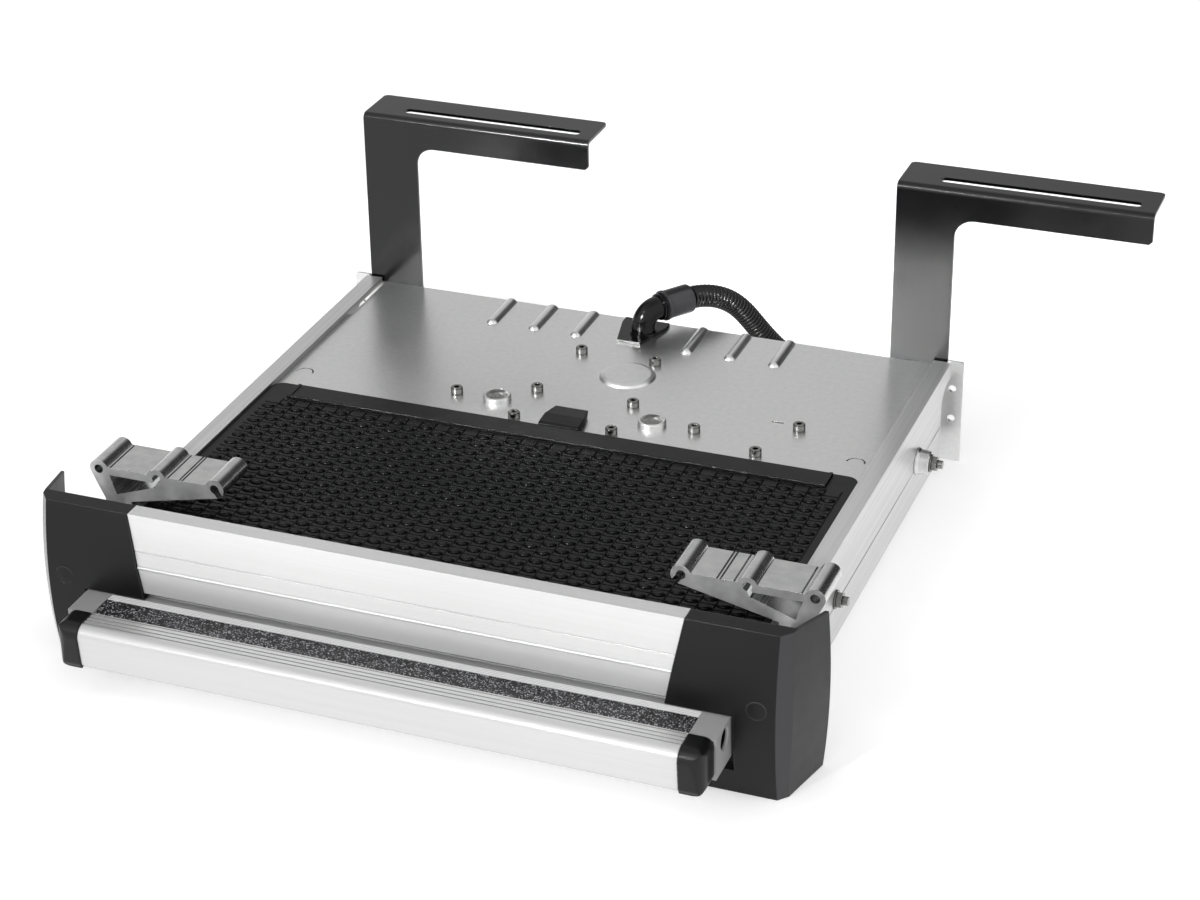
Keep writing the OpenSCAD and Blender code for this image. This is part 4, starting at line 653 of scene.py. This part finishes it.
# %% The studio's walls
STUDIO_GLOW = 1.0
DARK_PLACES = [  # direction, cosines where the shade starts and is full, and what is left of the light there
    ((0.46, 0.81, 0.33), 0.77, 0.93, 0.03),
    ((-0.9, 0.25, 0.32), 0.84, 0.95, 0.15),
    ((0.0, 0.1, 1.0), 0.75, 0.97, 0.6),
    ((-0.34, 0.81, 0.47), 0.8, 0.98, 0.6),
]
scene = bpy.context.scene
scene.view_settings.view_transform = "Standard"
world = bpy.data.worlds.new("studio")
world.use_nodes = True
scene.world = world
towards = add(world, "ShaderNodeTexCoord").outputs["Generated"]
glow = add(world, "ShaderNodeValue").outputs[0]
glow.default_value = STUDIO_GLOW
for direction, start, full, left in DARK_PLACES:
    axis = Vector(direction).normalized()
    nearness = add(world, "ShaderNodeVectorMath", {"operation": "DOT_PRODUCT", 1: axis}, {0: towards})
    shade = add(world, "ShaderNodeMapRange",
                {"From Min": start, "From Max": full, "To Min": 1.0, "To Max": left},
                {"Value": nearness.outputs["Value"]}).outputs[0]
    glow = add(world, "ShaderNodeMath", {"operation": "MULTIPLY"}, {0: glow, 1: shade}).outputs[0]
background = world.node_tree.nodes["Background"]
background.inputs["Color"].default_value = linear("#FFFFFF")
join(world, glow, background, "Strength")
print("studio with", len(DARK_PLACES), "darker places")

# %% Lamps
FRONT_LEFT, ABOVE, STEP_FRONT = (-0.87, -2.58, 1.51), (-0.9, -2.0, 2.5), (0.15, -0.3, 0.1)


def softbox(name, place, target, width, height, power, spread=180):
    """A flat lamp that faces a point of the step. A grid holds its light in a cone of this many degrees."""
    lamp = bpy.data.lights.new(name, "AREA")
    lamp.shape, lamp.size, lamp.size_y, lamp.energy = "RECTANGLE", width, height, power
    lamp.spread = math.radians(spread)
    holder = bpy.data.objects.new(name, lamp)
    holder.location = place
    holder.rotation_euler = (Vector(target) - Vector(place)).to_track_quat("-Z", "Y").to_euler()
    scene.collection.objects.link(holder)


softbox("key", FRONT_LEFT, STEP_FRONT, width=1.4, height=0.12, power=5)
softbox("overhead", ABOVE, STEP_FRONT, width=1.1, height=0.3, power=4)
softbox("left_spot", FRONT_LEFT, (-0.24, -0.05, 0.1), width=0.7, height=0.5, power=0.3, spread=5)
softbox("right_spot", FRONT_LEFT, (0.19, -0.07, 0.1), width=0.7, height=0.5, power=0.8, spread=6)
